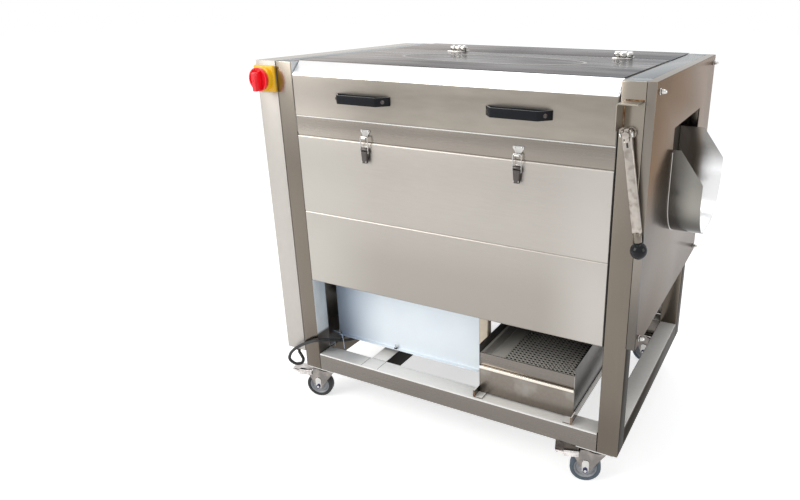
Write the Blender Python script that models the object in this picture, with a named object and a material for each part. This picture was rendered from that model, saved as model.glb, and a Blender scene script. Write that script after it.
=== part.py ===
"""Roller vegetable washer: a wheeled stainless stand with a trough of turning brush rollers under a lid.

All values are in metres. The drawing frame has X along the machine towards the discharge chute,
Y from the front to the back and Z up from the floor. Its corner lies at the left front post.
ORIGIN moves everything so that the world origin is on the floor under the middle of the machine.
"""
import math

import bmesh
import bpy
from mathutils import Matrix, Vector

for item in list(bpy.data.objects):
    bpy.data.objects.remove(item, do_unlink=True)

# Fits shared by all pieces
GAP = 0.0003
OVERRUN = 0.003
WELD = 0.001
MERGE = 0.00001
SHEET = 0.0015

# Frame of square tube
WIDTH = 0.910
DEPTH = 0.677
HEIGHT = 0.952
TUBE = 0.050
UNDERSIDE = 0.105
LATCH_RAIL_BELOW_TOP = 0.177
CROSS_MEMBER_SHARE = 0.2121
RUNNER_SIZE = 0.020
RUNNER_THICKNESS = 0.003
RUNNER_FRONT = 0.005

# Bearing plates and roller bearings
BEARING_PLATE = 0.004
BEARING_PLATE_RISE = 0.008
LEFT_BOSS_LENGTH = 0.022
RIGHT_BOSS_LENGTH = 0.012
BOSS_RADIUS = 0.022

# Brush rollers in a U: seven on a half circle and one more above each end
TROUGH_DEPTH_SHARE = 0.5214
BRUSH_BELOW_TOP = 0.0791
CIRCLE_DEPTH_SHARE = 0.3466
CIRCLE_HEIGHT_SHARE = 0.352
ROLLERS_ON_CIRCLE = 7
ROLLER_RISE_SHARE = 0.51
BRUSH_SHARE = 0.24
BRUSH_END_SPACE = 0.008
SHAFT_RADIUS = 0.010

# Roller chain, its sprockets and the drive from the motor
CHAIN_PITCH = 0.0127
CHAIN_ROLLER_RADIUS = 0.0040
CHAIN_INNER_HALF = 0.0040
CHAIN_LINK_THICKNESS = 0.0015
CHAIN_LINK_HALF_HEIGHT = 0.0048
TOOTH_COUNT = 12
TOOTH_SEAT_SPACE = 0.0006
TOOTH_HALF_WIDTH = 0.0032
TOOTH_ROOT_SHARE = 0.20
TOOTH_TIP_SHARE = 0.50
CHAIN_ARC_STEP = 15
CHAIN_ROLLER_PITCHES = 4
TOOTH_ADDENDUM = 0.0028
ROLLER_CHAIN_OUT = 0.016
DRIVE_CHAIN_OUT = 0.038
SPROCKET_HUB_RADIUS = 0.018
MOTOR_AXIS_Y = 0.235
MOTOR_AXIS_Z = 0.250

# Gear motor
MOTOR_SHAFT_RADIUS = 0.0125
GEARBOX_FROM_FRAME = 0.045
GEARBOX_LENGTH = 0.110
GEARBOX_HALF_WIDTH = 0.075
MOTOR_SHARE = 0.408
MOTOR_RADIUS = 0.070
MOTOR_FAN_COVER = 0.045
FAN_COVER_STEP = 0.003
MOTOR_BASE_THICKNESS = 0.005
MOTOR_BASE_MARGIN = 0.015

# Front panels
PANEL_BOTTOM = 0.382
PANEL_SEAM_SHARE = 0.4962
PANEL_RETURN = 0.015

# Lid, its hinges and handles
LID_SIDE_SPACE = 0.003
LID_CHAMFER = 0.030
LID_BACK = 0.440
LID_BACK_FLANGE = 0.017
LID_FRONT_RETURN = 0.012
LID_SIDE_FLANGE = 0.015
BEAD_CENTRE_SHARE = 0.586
BEAD_LENGTH = 0.490
BEAD_WIDTH = 0.190
BEAD_BREADTH = 0.012
BEAD_HEIGHT = 0.0025
DECK_FRONT = 0.443
DECK_FLANGE = 0.015
HINGE_AXIS_Y = 0.445
HINGE_AXIS_RISE = 0.010
HINGE_RADIUS = 0.008
HINGE_PIN_RADIUS = 0.003
HINGE_HALF_LENGTH = 0.0225
HINGE_MIDDLE_HALF = 0.009
HINGE_LEAF = 0.003
HINGE_LEAF_DEPTH = 0.027
HINGE_CENTRE_SHARES = (0.264, 0.851)
HANDLE_CENTRE_SHARES = (0.277, 0.746)
HANDLE_BELOW_TOP = 0.071
HANDLE_HEIGHT = 0.031
HANDLE_BAR_LENGTH = 0.105
HANDLE_EAR = 0.028
HANDLE_STANDOFF = 0.030
HANDLE_THICKNESS = 0.006
HANDLE_SCREW_RADIUS = 0.0055
HANDLE_SCREW_HEAD = 0.002

# Toggle latches between the upper front panel and the rail above it
LATCH_CENTRE_SHARES = (0.257, 0.742)
LATCH_PIVOT_DROP = 0.015
LATCH_STANDOFF = 0.008
LATCH_LEVER_HALF = 0.0087
LATCH_LEVER_SHEET = 0.0015
LATCH_LEVER_ABOVE = 0.0050
LATCH_LEVER_BELOW = 0.0330
LATCH_LEVER_FRONT = 0.0040
LATCH_LEVER_REAR = 0.0030
LATCH_LEVER_WINDOW = 0.0060
LATCH_PIN_RADIUS = 0.0011
LATCH_LUG_HALF = 0.0050
LATCH_BAIL_OFFSET = 0.0090
LATCH_BAIL_WIRE = 0.0026
LATCH_STRIKE_HALF = 0.0135
LATCH_STRIKE_RISE = 0.031
LATCH_LEDGE_RISE = 0.013
LATCH_LEDGE_HALF = 0.0065

# Drive cover on the left end and its isolator switch
DRIVE_COVER_DEPTH = 0.062
DRIVE_COVER_BOTTOM = 0.152
COVER_TOP_STEP = 0.001
ISOLATOR_SIDE = 0.064
ISOLATOR_PLATE = 0.010
ISOLATOR_CORNER = 0.002
ISOLATOR_BELOW_TOP = 0.044
KNOB_RADIUS = 0.028
KNOB_BASE = 0.012
KNOB_GRIP_DEPTH = 0.023
KNOB_GRIP_HALF = 0.007
KNOB_HOLE_RADIUS = 0.003

# Cover, studs, opening and chute on the discharge end
END_COVER_DEPTH = 0.0187
END_COVER_RISE = 0.006
STUD_INSET = 0.025
STUD_INSET_BELOW_TOP = 0.020
STUD_LENGTH = 0.023
STUD_WASHER_RADIUS = 0.009
STUD_NUT_RADIUS = 0.0068
STUD_NUT_SHARES = (0.10, 0.45, 0.80, 1.00)
OPENING_TOP_SHARE = 0.55
CHUTE_HALF_SHARE = 0.75
CHUTE_BOTTOM_SHARE = 0.76
CHUTE_CORNER_SHARE = 0.55
CHUTE_WALL_SHARE = 0.31
CHUTE_LIP_SHARE = 0.055
CHUTE_STRAIGHT = 0.037
CHUTE_LENGTH = 0.091

# Discharge gate, its rock shaft, lever and hood
GATE_AXIS_INSET = 0.025
GATE_AXIS_SHARE = 0.66
GATE_SHAFT_RADIUS = 0.007
GATE_HOLE_RADIUS = 0.011
GATE_SIDE_SPACE = 0.0015
GATE_BOTTOM_SPACE = 0.004
GATE_LUG = 0.006
GATE_LUG_HALF = 0.014
GATE_SHAFT_FRONT = -0.038
LEVER_Y = -0.025
LEVER_LENGTH = 0.214
LEVER_LEAN = 10.0
LEVER_WIDTH = 0.020
LEVER_THICKNESS = 0.012
LEVER_TOP_RADIUS = 0.013
LEVER_NECK_HALF = 0.007
LEVER_FERRULE = 0.018
BALL_RADIUS = 0.0175
HOOD_SHEET = 0.003
HOOD_WIDTH = 0.042
HOOD_FROM_EDGE = 0.002
HOOD_DEPTH = 0.050
HOOD_ABOVE_AXIS = 0.008
HOOD_HEIGHT = 0.053

# Splash panel and hopper
SPLASH_Y = 0.092
SPLASH_FROM_BOX = 0.032
SPLASH_BOTTOM = 0.178
SPLASH_LIP = 0.010
SPLASH_FRONT_SPACE = 0.003
HOPPER_BELOW_BRUSH = 0.005
HOPPER_RIM = 0.030
HOPPER_MARGIN = 0.020
HOPPER_SPOUT_BOTTOM = 0.336
HOPPER_SPOUT = 0.012
HOPPER_SPOUT_INSET = 0.022

# Residue box and sieve tray on the runners
BOX_FROM_RIGHT = 0.118
BOX_WIDTH = 0.252
BOX_FRONT = 0.030
BOX_BACK_SPACE = 0.060
BOX_WALL_TOP = 0.293
BOX_FRONT_TOP = 0.236
BOX_DRAIN_RADIUS = 0.016
BOX_DRAIN_LENGTH = 0.030
BOX_DRAIN_RISE = 0.024
TRAY_SIDE_SPACE = 0.0005
TRAY_FRONT_SPACE = 0.002
TRAY_LEDGE = 0.008
TRAY_SHEET_TOP = 0.262
TRAY_PLATE_TOP = 0.270
SIEVE_HOLE_RADIUS = 0.006
SIEVE_MARGIN = 0.018
SIEVE_COLUMNS = 7
SIEVE_ROWS = 12

# Spray pipe
SPRAY_PLACE_SHARE = 0.635
SPRAY_BELOW_RAIL = 0.016
SPRAY_RADIUS = 0.009
SPRAY_FLANGE_RADIUS = 0.018
SPRAY_FLANGE = 0.004
SPRAY_INLET_FROM_LEFT = 0.150
SPRAY_INLET_BEYOND = 0.020
SPRAY_UNION_RADIUS = 0.013
NOZZLE_RADIUS = 0.004
NOZZLE_LENGTH = 0.012
NOZZLE_COUNT = 8

# Casters
CASTER_PLATE_LENGTH = 0.090
CASTER_PLATE_WIDTH = 0.066
CASTER_PLATE = 0.003
CASTER_INSET_X = 0.047
CASTER_INSET_RIGHT = 0.056
CASTER_INSET_REAR_RIGHT = 0.065
CASTER_INSET_Y = 0.035
RACE_RADIUS = 0.027
RACE_HEIGHT = 0.008
CROWN = 0.003
CROWN_RADIUS = 0.028
WHEEL_RADIUS = 0.0375
WHEEL_HALF = 0.012
WHEEL_HUB_RADIUS = 0.013
WHEEL_HUB_HALF = 0.0140
WHEEL_WEB_HALF = 0.0065
WHEEL_RIM_RADIUS = 0.027
TYRE_ROUND = 0.003
TRAIL = 0.027
AXLE_RADIUS = 0.004
FORK_SIDE = 0.0025
FORK_FOOT_RADIUS = 0.010
FORK_FRONT = 0.026
FORK_SHOULDER = 0.040
FORK_WING = 0.062
FORK_WING_TOP = 0.082
FORK_WING_BOTTOM = 0.074
AXLE_NUT_RADIUS = 0.007
AXLE_NUT_LENGTH = 0.007
FRONT_HEADING = 18.0
PEDAL_PIVOT_BACK = 0.056
PEDAL_PIVOT_Z = 0.078
PEDAL_PIN_RADIUS = 0.0025
PEDAL_INNER = 0.044
PEDAL_OUTER = 0.095
PEDAL_UNDERSIDE = 0.0855
PEDAL_SHEET = 0.002
PEDAL_LIP_BOTTOM = 0.074
PEDAL_TIP = 0.020
PEDAL_TIP_RISE = 0.004

# Motor cable and the glands at its ends and at the supply's entry
CABLE_RADIUS = 0.00425
CABLE_STRAIGHT = 0.0085
CABLE_SAMPLES = 3
GLAND_NUT_RADIUS = 0.0105
GLAND_CAP_RADIUS = 0.0085
GLAND_NUT = 0.008
GLAND_LENGTH = 0.018
MOTOR_GLAND_X = 0.110
MOTOR_GLAND_Z = 0.180
COVER_GLAND_X = -0.045
COVER_GLAND_Y = 0.022
SUPPLY_GLAND_FROM_BACK = 0.077
CABLE_ROUTE = (
    (0.109, 0.118, 0.1745),
    (0.101, 0.100, 0.169),
    (0.090, 0.0825, 0.1675),
    (0.078, 0.062, 0.1735),
    (0.068, 0.038, 0.1845),
    (0.062, 0.012, 0.196),
    (0.0535, -0.0065, 0.201),
    (0.032, -0.0115, 0.194),
    (0.001, -0.012, 0.177),
    (-0.025, -0.012, 0.159),
    (-0.044, -0.012, 0.140),
    (-0.053, -0.011, 0.121),
    (-0.050, -0.007, 0.108),
    (-0.038, -0.001, 0.100),
    (-0.027, 0.008, 0.101),
    (-0.027, 0.016, 0.109),
    (-0.036, 0.020, 0.117),
)

# Places that follow from the sizes above
RAIL_TOP = UNDERSIDE + TUBE
LATCH_RAIL_BOTTOM = HEIGHT - LATCH_RAIL_BELOW_TOP
PANEL_SEAM = PANEL_BOTTOM + PANEL_SEAM_SHARE * (LATCH_RAIL_BOTTOM - PANEL_BOTTOM)
BEARING_PLATE_BOTTOM = PANEL_BOTTOM + BEARING_PLATE_RISE
END_COVER_BOTTOM = PANEL_BOTTOM + END_COVER_RISE
LATCH_PIVOT_Z = LATCH_RAIL_BOTTOM - LATCH_PIVOT_DROP
LATCH_STRIKE_TOP = LATCH_RAIL_BOTTOM + LATCH_STRIKE_RISE
LATCH_LEDGE_TOP = LATCH_RAIL_BOTTOM + LATCH_LEDGE_RISE
HANDLE_CENTRE_Z = HEIGHT - HANDLE_BELOW_TOP
BODY_HEIGHT = HEIGHT - PANEL_BOTTOM
ROLLER_CIRCLE = min(CIRCLE_DEPTH_SHARE * (DEPTH - 2 * TUBE), CIRCLE_HEIGHT_SHARE * BODY_HEIGHT)
ROLLER_RISE = ROLLER_RISE_SHARE * ROLLER_CIRCLE
BRUSH_RADIUS = BRUSH_SHARE * ROLLER_CIRCLE
TROUGH_Y = TROUGH_DEPTH_SHARE * DEPTH
TROUGH_Z = HEIGHT - BRUSH_BELOW_TOP - ROLLER_RISE - BRUSH_RADIUS
OPENING_TOP = TROUGH_Z + OPENING_TOP_SHARE * ROLLER_CIRCLE
CHUTE_HALF = CHUTE_HALF_SHARE * ROLLER_CIRCLE
CHUTE_CORNER = CHUTE_CORNER_SHARE * ROLLER_CIRCLE
CHUTE_BOTTOM = TROUGH_Z - CHUTE_BOTTOM_SHARE * ROLLER_CIRCLE
CHUTE_WALL_TOP = TROUGH_Z + CHUTE_WALL_SHARE * ROLLER_CIRCLE
CHUTE_LIP_TOP = TROUGH_Z - CHUTE_LIP_SHARE * ROLLER_CIRCLE
CHUTE_SLANT_START = WIDTH + CHUTE_STRAIGHT
CHUTE_END = WIDTH + CHUTE_LENGTH
GATE_AXIS_X = WIDTH - GATE_AXIS_INSET
GATE_AXIS_Z = TROUGH_Z + GATE_AXIS_SHARE * ROLLER_CIRCLE
HOOD_RIGHT = WIDTH - HOOD_FROM_EDGE
HOOD_LEFT = HOOD_RIGHT - HOOD_WIDTH
HOOD_BOTTOM = GATE_AXIS_Z + HOOD_ABOVE_AXIS
HOOD_TOP = HOOD_BOTTOM + HOOD_HEIGHT
BOX_RIGHT = WIDTH - BOX_FROM_RIGHT
BOX_LEFT = BOX_RIGHT - BOX_WIDTH
SPLASH_RIGHT = BOX_LEFT - SPLASH_FROM_BOX
HOPPER_RIM_TOP = TROUGH_Z - ROLLER_CIRCLE - BRUSH_RADIUS - HOPPER_BELOW_BRUSH
SPRAY_Y = TROUGH_Y + SPRAY_PLACE_SHARE * ROLLER_CIRCLE
SPRAY_Z = HEIGHT - TUBE - SPRAY_BELOW_RAIL
MOTOR_LENGTH = MOTOR_SHARE * (BOX_LEFT - TUBE)
BEAD_CENTRE_Y = BEAD_CENTRE_SHARE * LID_BACK
LEFT_INNER = TUBE
RIGHT_INNER = WIDTH - TUBE
BACK_INNER = DEPTH - TUBE
SPAN_LEFT = LEFT_INNER + GAP
SPAN_RIGHT = RIGHT_INNER - GAP
LATCH_RAIL_TOP = LATCH_RAIL_BOTTOM + TUBE
LEFT_COVER_FACE = -GAP - DRIVE_COVER_DEPTH
DRIVE_COVER_MIDDLE = -GAP - DRIVE_COVER_DEPTH / 2
ISOLATOR_Z = HEIGHT - ISOLATOR_BELOW_TOP
END_COVER_FACE = WIDTH + GAP + END_COVER_DEPTH
SPRAY_INLET_END = DEPTH + SPRAY_INLET_BEYOND
X_MIDDLE = (DRIVE_COVER_MIDDLE - ISOLATOR_SIDE / 2 + CHUTE_END) / 2
Y_MIDDLE = (SPRAY_INLET_END - HOOD_DEPTH) / 2
ORIGIN = Vector((X_MIDDLE, Y_MIDDLE, 0))

LOOKS = {
    "brushed_stainless": ((0.40, 0.37, 0.34), 0.38, 1.0),
    "matt_stainless": ((0.60, 0.57, 0.54), 0.50, 1.0),
    "polished_stainless": ((0.72, 0.71, 0.70), 0.18, 1.0),
    "cover_sheet": ((0.70, 0.66, 0.60), 0.45, 0.6),
    "splash_sheet": ((0.66, 0.74, 0.82), 0.35, 0.3),
    "machined_steel": ((0.45, 0.45, 0.46), 0.35, 1.0),
    "motor_paint": ((0.16, 0.20, 0.24), 0.50, 0.0),
    "nylon_bristle": ((0.82, 0.82, 0.78), 0.70, 0.0),
    "black_plastic": ((0.015, 0.015, 0.018), 0.35, 0.0),
    "black_rubber": ((0.012, 0.012, 0.013), 0.60, 0.0),
    "grey_rubber": ((0.16, 0.19, 0.23), 0.55, 0.0),
    "yellow_plastic": ((0.90, 0.55, 0.01), 0.35, 0.0),
    "red_plastic": ((0.70, 0.02, 0.02), 0.30, 0.0),
}


def material(look):
    """Return the Principled material of a look, made on first use."""
    found = bpy.data.materials.get(look)
    if found:
        return found
    colour, roughness, metallic = LOOKS[look]
    made = bpy.data.materials.new(look)
    made.use_nodes = True
    shader = made.node_tree.nodes["Principled BSDF"]
    shader.inputs["Base Color"].default_value = (*colour, 1)
    shader.inputs["Roughness"].default_value = roughness
    shader.inputs["Metallic"].default_value = metallic
    made.diffuse_color = (*colour, 1)
    return made


def mesh_of(name, shape):
    """Turn a bmesh into a mesh whose faces point out, smooth but for its sharp edges."""
    bmesh.ops.recalc_face_normals(shape, faces=shape.faces)
    mesh = bpy.data.meshes.new(name)
    shape.to_mesh(mesh)
    shape.free()
    mesh.shade_smooth()
    mesh.set_sharp_from_angle(angle=math.radians(30))
    return mesh


def piece(name, look, shape, pivot=(0, 0, 0), carrier=None):
    """Add a sub-part drawn in the drawing frame, with its origin at the pivot."""
    bmesh.ops.translate(shape, verts=shape.verts, vec=-Vector(pivot))
    made = bpy.data.objects.new(name, mesh_of(name, shape))
    made.data.materials.append(material(look))
    bpy.context.scene.collection.objects.link(made)
    if carrier:
        made.parent = carrier
        made.location = pivot
    else:
        made.location = Vector(pivot) - ORIGIN
    made["pivot"] = list(pivot)
    return made


def combine(target, shape, operation):
    """Join a shape to a sub-part or cut it away, with a hidden tool that rides on the sub-part."""
    name = f"{target.name}_tool_{len(target.modifiers)}"
    tool = bpy.data.objects.new(name, mesh_of(name, shape))
    bpy.context.scene.collection.objects.link(tool)
    tool.parent = target
    tool.location = -Vector(target["pivot"])
    tool.hide_render = True
    tool.display_type = "WIRE"
    change = target.modifiers.new(name, "BOOLEAN")
    change.operation = operation
    change.solver = "EXACT"
    change.object = tool


def fuse(target, *shapes):
    for shape in shapes:
        combine(target, shape, "UNION")


def cut(target, *shapes):
    for shape in shapes:
        combine(target, shape, "DIFFERENCE")


def block(low, high):
    """A box between two opposite corners."""
    shape = bmesh.new()
    bmesh.ops.create_cube(shape, size=1)
    low, high = Vector(low), Vector(high)
    bmesh.ops.scale(shape, verts=shape.verts, vec=high - low)
    bmesh.ops.translate(shape, verts=shape.verts, vec=(low + high) / 2)
    return shape


def along(axis, distance, a, b):
    """A point at a distance along an axis, with its two other coordinates in order."""
    others = {"X": (distance, a, b), "Y": (a, distance, b), "Z": (a, b, distance)}
    return Vector(others[axis])


def prism(axis, outline, start, end):
    """An outline of pairs extruded along an axis."""
    shape = bmesh.new()
    face = shape.faces.new([shape.verts.new(along(axis, start, a, b)) for a, b in outline])
    raised = bmesh.ops.extrude_face_region(shape, geom=[face])["geom"]
    moved = [part for part in raised if isinstance(part, bmesh.types.BMVert)]
    bmesh.ops.translate(shape, verts=moved, vec=along(axis, end - start, 0, 0))
    return shape


def turned(axis, centre, profile, sides):
    """A profile of (distance, radius) pairs spun about an axis through a centre."""
    shape = bmesh.new()
    verts = [shape.verts.new((radius, 0, distance)) for distance, radius in profile]
    edges = [shape.edges.new(pair) for pair in zip(verts, verts[1:])]
    bmesh.ops.spin(
        shape, geom=verts + edges, axis=(0, 0, 1), cent=(0, 0, 0), angle=math.tau, steps=sides, use_merge=True
    )
    bmesh.ops.remove_doubles(shape, verts=shape.verts, dist=MERGE)
    turns = {
        "X": Matrix(((0, 0, 1), (1, 0, 0), (0, 1, 0))),
        "Y": Matrix(((0, 1, 0), (0, 0, 1), (1, 0, 0))),
        "Z": Matrix.Identity(3),
    }
    bmesh.ops.transform(shape, verts=shape.verts, matrix=turns[axis].to_4x4())
    bmesh.ops.translate(shape, verts=shape.verts, vec=along(axis, 0, *centre))
    return shape


def arc(centre, radius, first, last, steps):
    """Points on an arc, with its angles in degrees."""
    angles = [math.radians(first + (last - first) * i / steps) for i in range(steps + 1)]
    return [(centre[0] + radius * math.cos(a), centre[1] + radius * math.sin(a)) for a in angles]


def rod(axis, centre, radius, start, end, sides=16):
    """A round bar along an axis."""
    return prism(axis, arc(centre, radius, 0, 360, sides)[:-1], start, end)


def bore(axis, centre, radius, start, end, sides=10):
    """A cutter for a round hole, whose flats stay clear of a pin of the given radius."""
    return rod(axis, centre, (radius + GAP) / math.cos(math.pi / sides), start - OVERRUN, end + OVERRUN, sides)


def folded(line, thickness):
    """Outline of a sheet folded along a line, with its thickness to the left of the line."""
    points = [Vector(point) for point in line]
    normals = []
    for a, b in zip(points, points[1:]):
        run = (b - a).normalized()
        normals.append(Vector((-run.y, run.x)))
    inner = []
    for i, point in enumerate(points):
        before = normals[max(i - 1, 0)]
        after = normals[min(i, len(normals) - 1)]
        middle = (before + after).normalized()
        inner.append(point + middle * thickness / middle.dot(before))
    return points + inner[::-1]


def loft(sections):
    """A closed body through rectangles given as (z, low x, high x, low y, high y)."""
    shape = bmesh.new()
    rings = []
    for z, left, right, front, back in sections:
        corners = ((left, front), (right, front), (right, back), (left, back))
        rings.append([shape.verts.new((x, y, z)) for x, y in corners])
    shape.faces.new(rings[0])
    shape.faces.new(rings[-1][::-1])
    for lower, upper in zip(rings, rings[1:]):
        for i in range(4):
            j = (i + 1) % 4
            shape.faces.new((lower[i], upper[i], upper[j], lower[j]))
    return shape


def span_place(share):
    """X of a place given as a share of the space between the end frames."""
    return LEFT_INNER + share * (RIGHT_INNER - LEFT_INNER)


def roller_centres():
    """Roller axes as (y, z), from the front end of the U round its bottom to the back end."""
    steps = ROLLERS_ON_CIRCLE - 1
    lower = arc((TROUGH_Y, TROUGH_Z), ROLLER_CIRCLE, 180, 360, steps)
    first = (lower[0][0], lower[0][1] + ROLLER_RISE)
    last = (lower[-1][0], lower[-1][1] + ROLLER_RISE)
    return [first] + lower + [last]


ROLLER_AXES = roller_centres()
BOTTOM_ROLLER = len(ROLLER_AXES) // 2


# Casters: swivel places, with the heading of each wheel as it was left
CASTERS = {
    "front_left": (CASTER_INSET_X, CASTER_INSET_Y, FRONT_HEADING),
    "front_right": (WIDTH - CASTER_INSET_RIGHT, CASTER_INSET_Y, FRONT_HEADING),
    "rear_left": (CASTER_INSET_X, DEPTH - CASTER_INSET_Y, 0),
    "rear_right": (WIDTH - CASTER_INSET_REAR_RIGHT, DEPTH - CASTER_INSET_Y, 0),
}
CASTER_PLATE_TOP = UNDERSIDE - GAP
RACE_BOTTOM = CASTER_PLATE_TOP - CASTER_PLATE - RACE_HEIGHT
CROWN_TOP = RACE_BOTTOM - GAP


def caster_tops(frame, side, left, right):
    """Top plates and ball races of one end frame's casters, welded under it."""
    for place, (x, y, _) in CASTERS.items():
        if not place.endswith(side):
            continue
        low_x, high_x = x - CASTER_PLATE_LENGTH / 2, x + CASTER_PLATE_LENGTH / 2
        low_y, high_y = y - CASTER_PLATE_WIDTH / 2, y + CASTER_PLATE_WIDTH / 2
        middle = CASTER_PLATE_TOP - CASTER_PLATE / 2
        plate = block((low_x, low_y, CASTER_PLATE_TOP - CASTER_PLATE), (high_x, high_y, CASTER_PLATE_TOP))
        weld_low = (max(low_x, left) + WELD, low_y + WELD, middle)
        weld_high = (min(high_x, right) - WELD, high_y - WELD, UNDERSIDE + WELD)
        fuse(frame, block(weld_low, weld_high), plate)
        fuse(frame, rod("Z", (x, y), RACE_RADIUS, RACE_BOTTOM, middle))


def end_frame(name, left, right, side):
    """A ring of square tube: two posts, a bottom rail and a top rail."""
    frame = piece(name, "brushed_stainless", block((left, 0, UNDERSIDE), (right, DEPTH, HEIGHT)))
    window_low = (left - OVERRUN, TUBE, RAIL_TOP)
    window_high = (right + OVERRUN, BACK_INNER, HEIGHT - TUBE)
    cut(frame, block(window_low, window_high))
    caster_tops(frame, side, left, right)
    return frame


def end_frames():
    end_frame("left_end_frame", 0, TUBE, "left")
    right = end_frame("right_end_frame", RIGHT_INNER, WIDTH, "right")
    cut(right, bore("Y", (GATE_AXIS_X, GATE_AXIS_Z), GATE_HOLE_RADIUS, 0, TUBE, sides=16))
    hood_line = (
        (HOOD_LEFT, HOOD_BOTTOM),
        (HOOD_LEFT, HOOD_TOP),
        (HOOD_RIGHT, HOOD_TOP),
    )
    hood = folded([(x, z) for x, z in reversed(hood_line)], HOOD_SHEET)
    fuse(right, prism("Y", hood, -HOOD_DEPTH, WELD))


def base_frame():
    """Front and rear bottom rails, the cross member between them and the residue box's runners."""
    low = (SPAN_LEFT, 0, UNDERSIDE)
    base = piece("base_frame", "brushed_stainless", block(low, (SPAN_RIGHT, DEPTH, RAIL_TOP)))
    cross_left = CROSS_MEMBER_SHARE * WIDTH
    cross_right = cross_left + TUBE
    bays = ((SPAN_LEFT - OVERRUN, cross_left), (cross_right, SPAN_RIGHT + OVERRUN))
    for left, right in bays:
        cut(base, block((left, TUBE, UNDERSIDE - OVERRUN), (right, BACK_INNER, RAIL_TOP + OVERRUN)))
    for outer, inward in ((BOX_LEFT - GAP, 1), (BOX_RIGHT + GAP, -1)):
        web = outer - inward * RUNNER_THICKNESS
        ledge = outer + inward * RUNNER_SIZE
        low_edge, high_edge = min(web, ledge), max(web, ledge)
        runner_top = RAIL_TOP + RUNNER_THICKNESS
        fuse(base, block((low_edge, RUNNER_FRONT, RAIL_TOP - WELD), (high_edge, DEPTH - RUNNER_FRONT, runner_top)))
        low_web, high_web = min(web, outer), max(web, outer)
        web_low = (low_web, RUNNER_FRONT + WELD, RAIL_TOP)
        fuse(base, block(web_low, (high_web, DEPTH - RUNNER_FRONT - WELD, RAIL_TOP + RUNNER_SIZE)))


def strike_plate(x):
    """The bow-tie plate of one latch with the ledge that its bail pulls on."""
    middle = (LATCH_STRIKE_TOP + LATCH_LEDGE_TOP) / 2
    half = LATCH_STRIKE_HALF
    waist = LATCH_LEDGE_HALF
    outline = (
        (x - half, LATCH_STRIKE_TOP),
        (x - half, middle + WELD),
        (x - waist, middle - WELD),
        (x - waist, LATCH_LEDGE_TOP - SHEET),
        (x + waist, LATCH_LEDGE_TOP - SHEET),
        (x + waist, middle - WELD),
        (x + half, middle + WELD),
        (x + half, LATCH_STRIKE_TOP),
    )
    reach = LATCH_STANDOFF + LATCH_BAIL_WIRE
    ledge = block((x - waist, -reach, LATCH_LEDGE_TOP - SHEET), (x + waist, WELD, LATCH_LEDGE_TOP))
    return prism("Y", outline, -SHEET, WELD), ledge


def cross_rails():
    """The front rail that the lid closes on, with the latch strikes, and the rear rail under the deck."""
    low = (SPAN_LEFT, 0, LATCH_RAIL_BOTTOM)
    rail = piece("latch_rail", "brushed_stainless", block(low, (SPAN_RIGHT, TUBE, LATCH_RAIL_TOP)))
    for share in LATCH_CENTRE_SHARES:
        fuse(rail, *strike_plate(span_place(share)))
    rear_top = HEIGHT - SHEET - GAP
    low = (SPAN_LEFT, BACK_INNER, rear_top - TUBE)
    piece("rear_top_rail", "brushed_stainless", block(low, (SPAN_RIGHT, DEPTH, rear_top)))


def chute_section(offset):
    """The chute's inner outline from its front wall round the bottom, moved out by an offset."""
    half = CHUTE_HALF - SHEET + offset
    bottom = CHUTE_BOTTOM - offset
    corner = CHUTE_CORNER + offset
    left = arc((TROUGH_Y - half + corner, bottom + corner), corner, 180, 270, 8)
    right = arc((TROUGH_Y + half - corner, bottom + corner), corner, 270, 360, 8)
    return left + right


def discharge_opening(start, end, top, offset):
    """The U-shaped hole that the produce leaves through."""
    lower = chute_section(offset)
    outline = [(lower[0][0], top)] + lower + [(lower[-1][0], top)]
    return prism("X", outline, start, end)


def bearing_plates():
    """The two plates that carry the rollers, set in the windows of the end frames."""
    front = TUBE + GAP
    back = BACK_INNER - GAP
    top = HEIGHT - TUBE - GAP
    left_face = LEFT_INNER - BEARING_PLATE
    low = (left_face, front, BEARING_PLATE_BOTTOM)
    left = piece("left_bearing_plate", "matt_stainless", block(low, (LEFT_INNER, back, top)))
    right_face = RIGHT_INNER + BEARING_PLATE
    low = (RIGHT_INNER, front, BEARING_PLATE_BOTTOM)
    right = piece("right_bearing_plate", "matt_stainless", block(low, (right_face, back, top)))
    left_end = left_face - LEFT_BOSS_LENGTH
    right_end = right_face + RIGHT_BOSS_LENGTH
    for centre in ROLLER_AXES:
        fuse(left, rod("X", centre, BOSS_RADIUS, left_end, LEFT_INNER - WELD, sides=12))
        fuse(right, rod("X", centre, BOSS_RADIUS, RIGHT_INNER + WELD, right_end, sides=12))
    for centre in ROLLER_AXES:
        cut(left, bore("X", centre, SHAFT_RADIUS, left_end, LEFT_INNER))
        cut(right, bore("X", centre, SHAFT_RADIUS, RIGHT_INNER, right_end))
    cut(right, discharge_opening(RIGHT_INNER - OVERRUN, right_face + OVERRUN, OPENING_TOP, 0))
    lug_front = TROUGH_Y + CHUTE_HALF + GATE_LUG
    half = GATE_LUG_HALF
    low = (RIGHT_INNER + WELD, lug_front, GATE_AXIS_Z - half)
    fuse(right, block(low, (GATE_AXIS_X + half, lug_front + GATE_LUG, GATE_AXIS_Z + half)))
    cut(right, bore("Y", (GATE_AXIS_X, GATE_AXIS_Z), GATE_SHAFT_RADIUS, lug_front, lug_front + GATE_LUG))


def pitch_radius():
    """Radius of the circle that the chain's rollers lie on as they pass round a sprocket."""
    return CHAIN_PITCH / (2 * math.sin(math.pi / TOOTH_COUNT))


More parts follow.
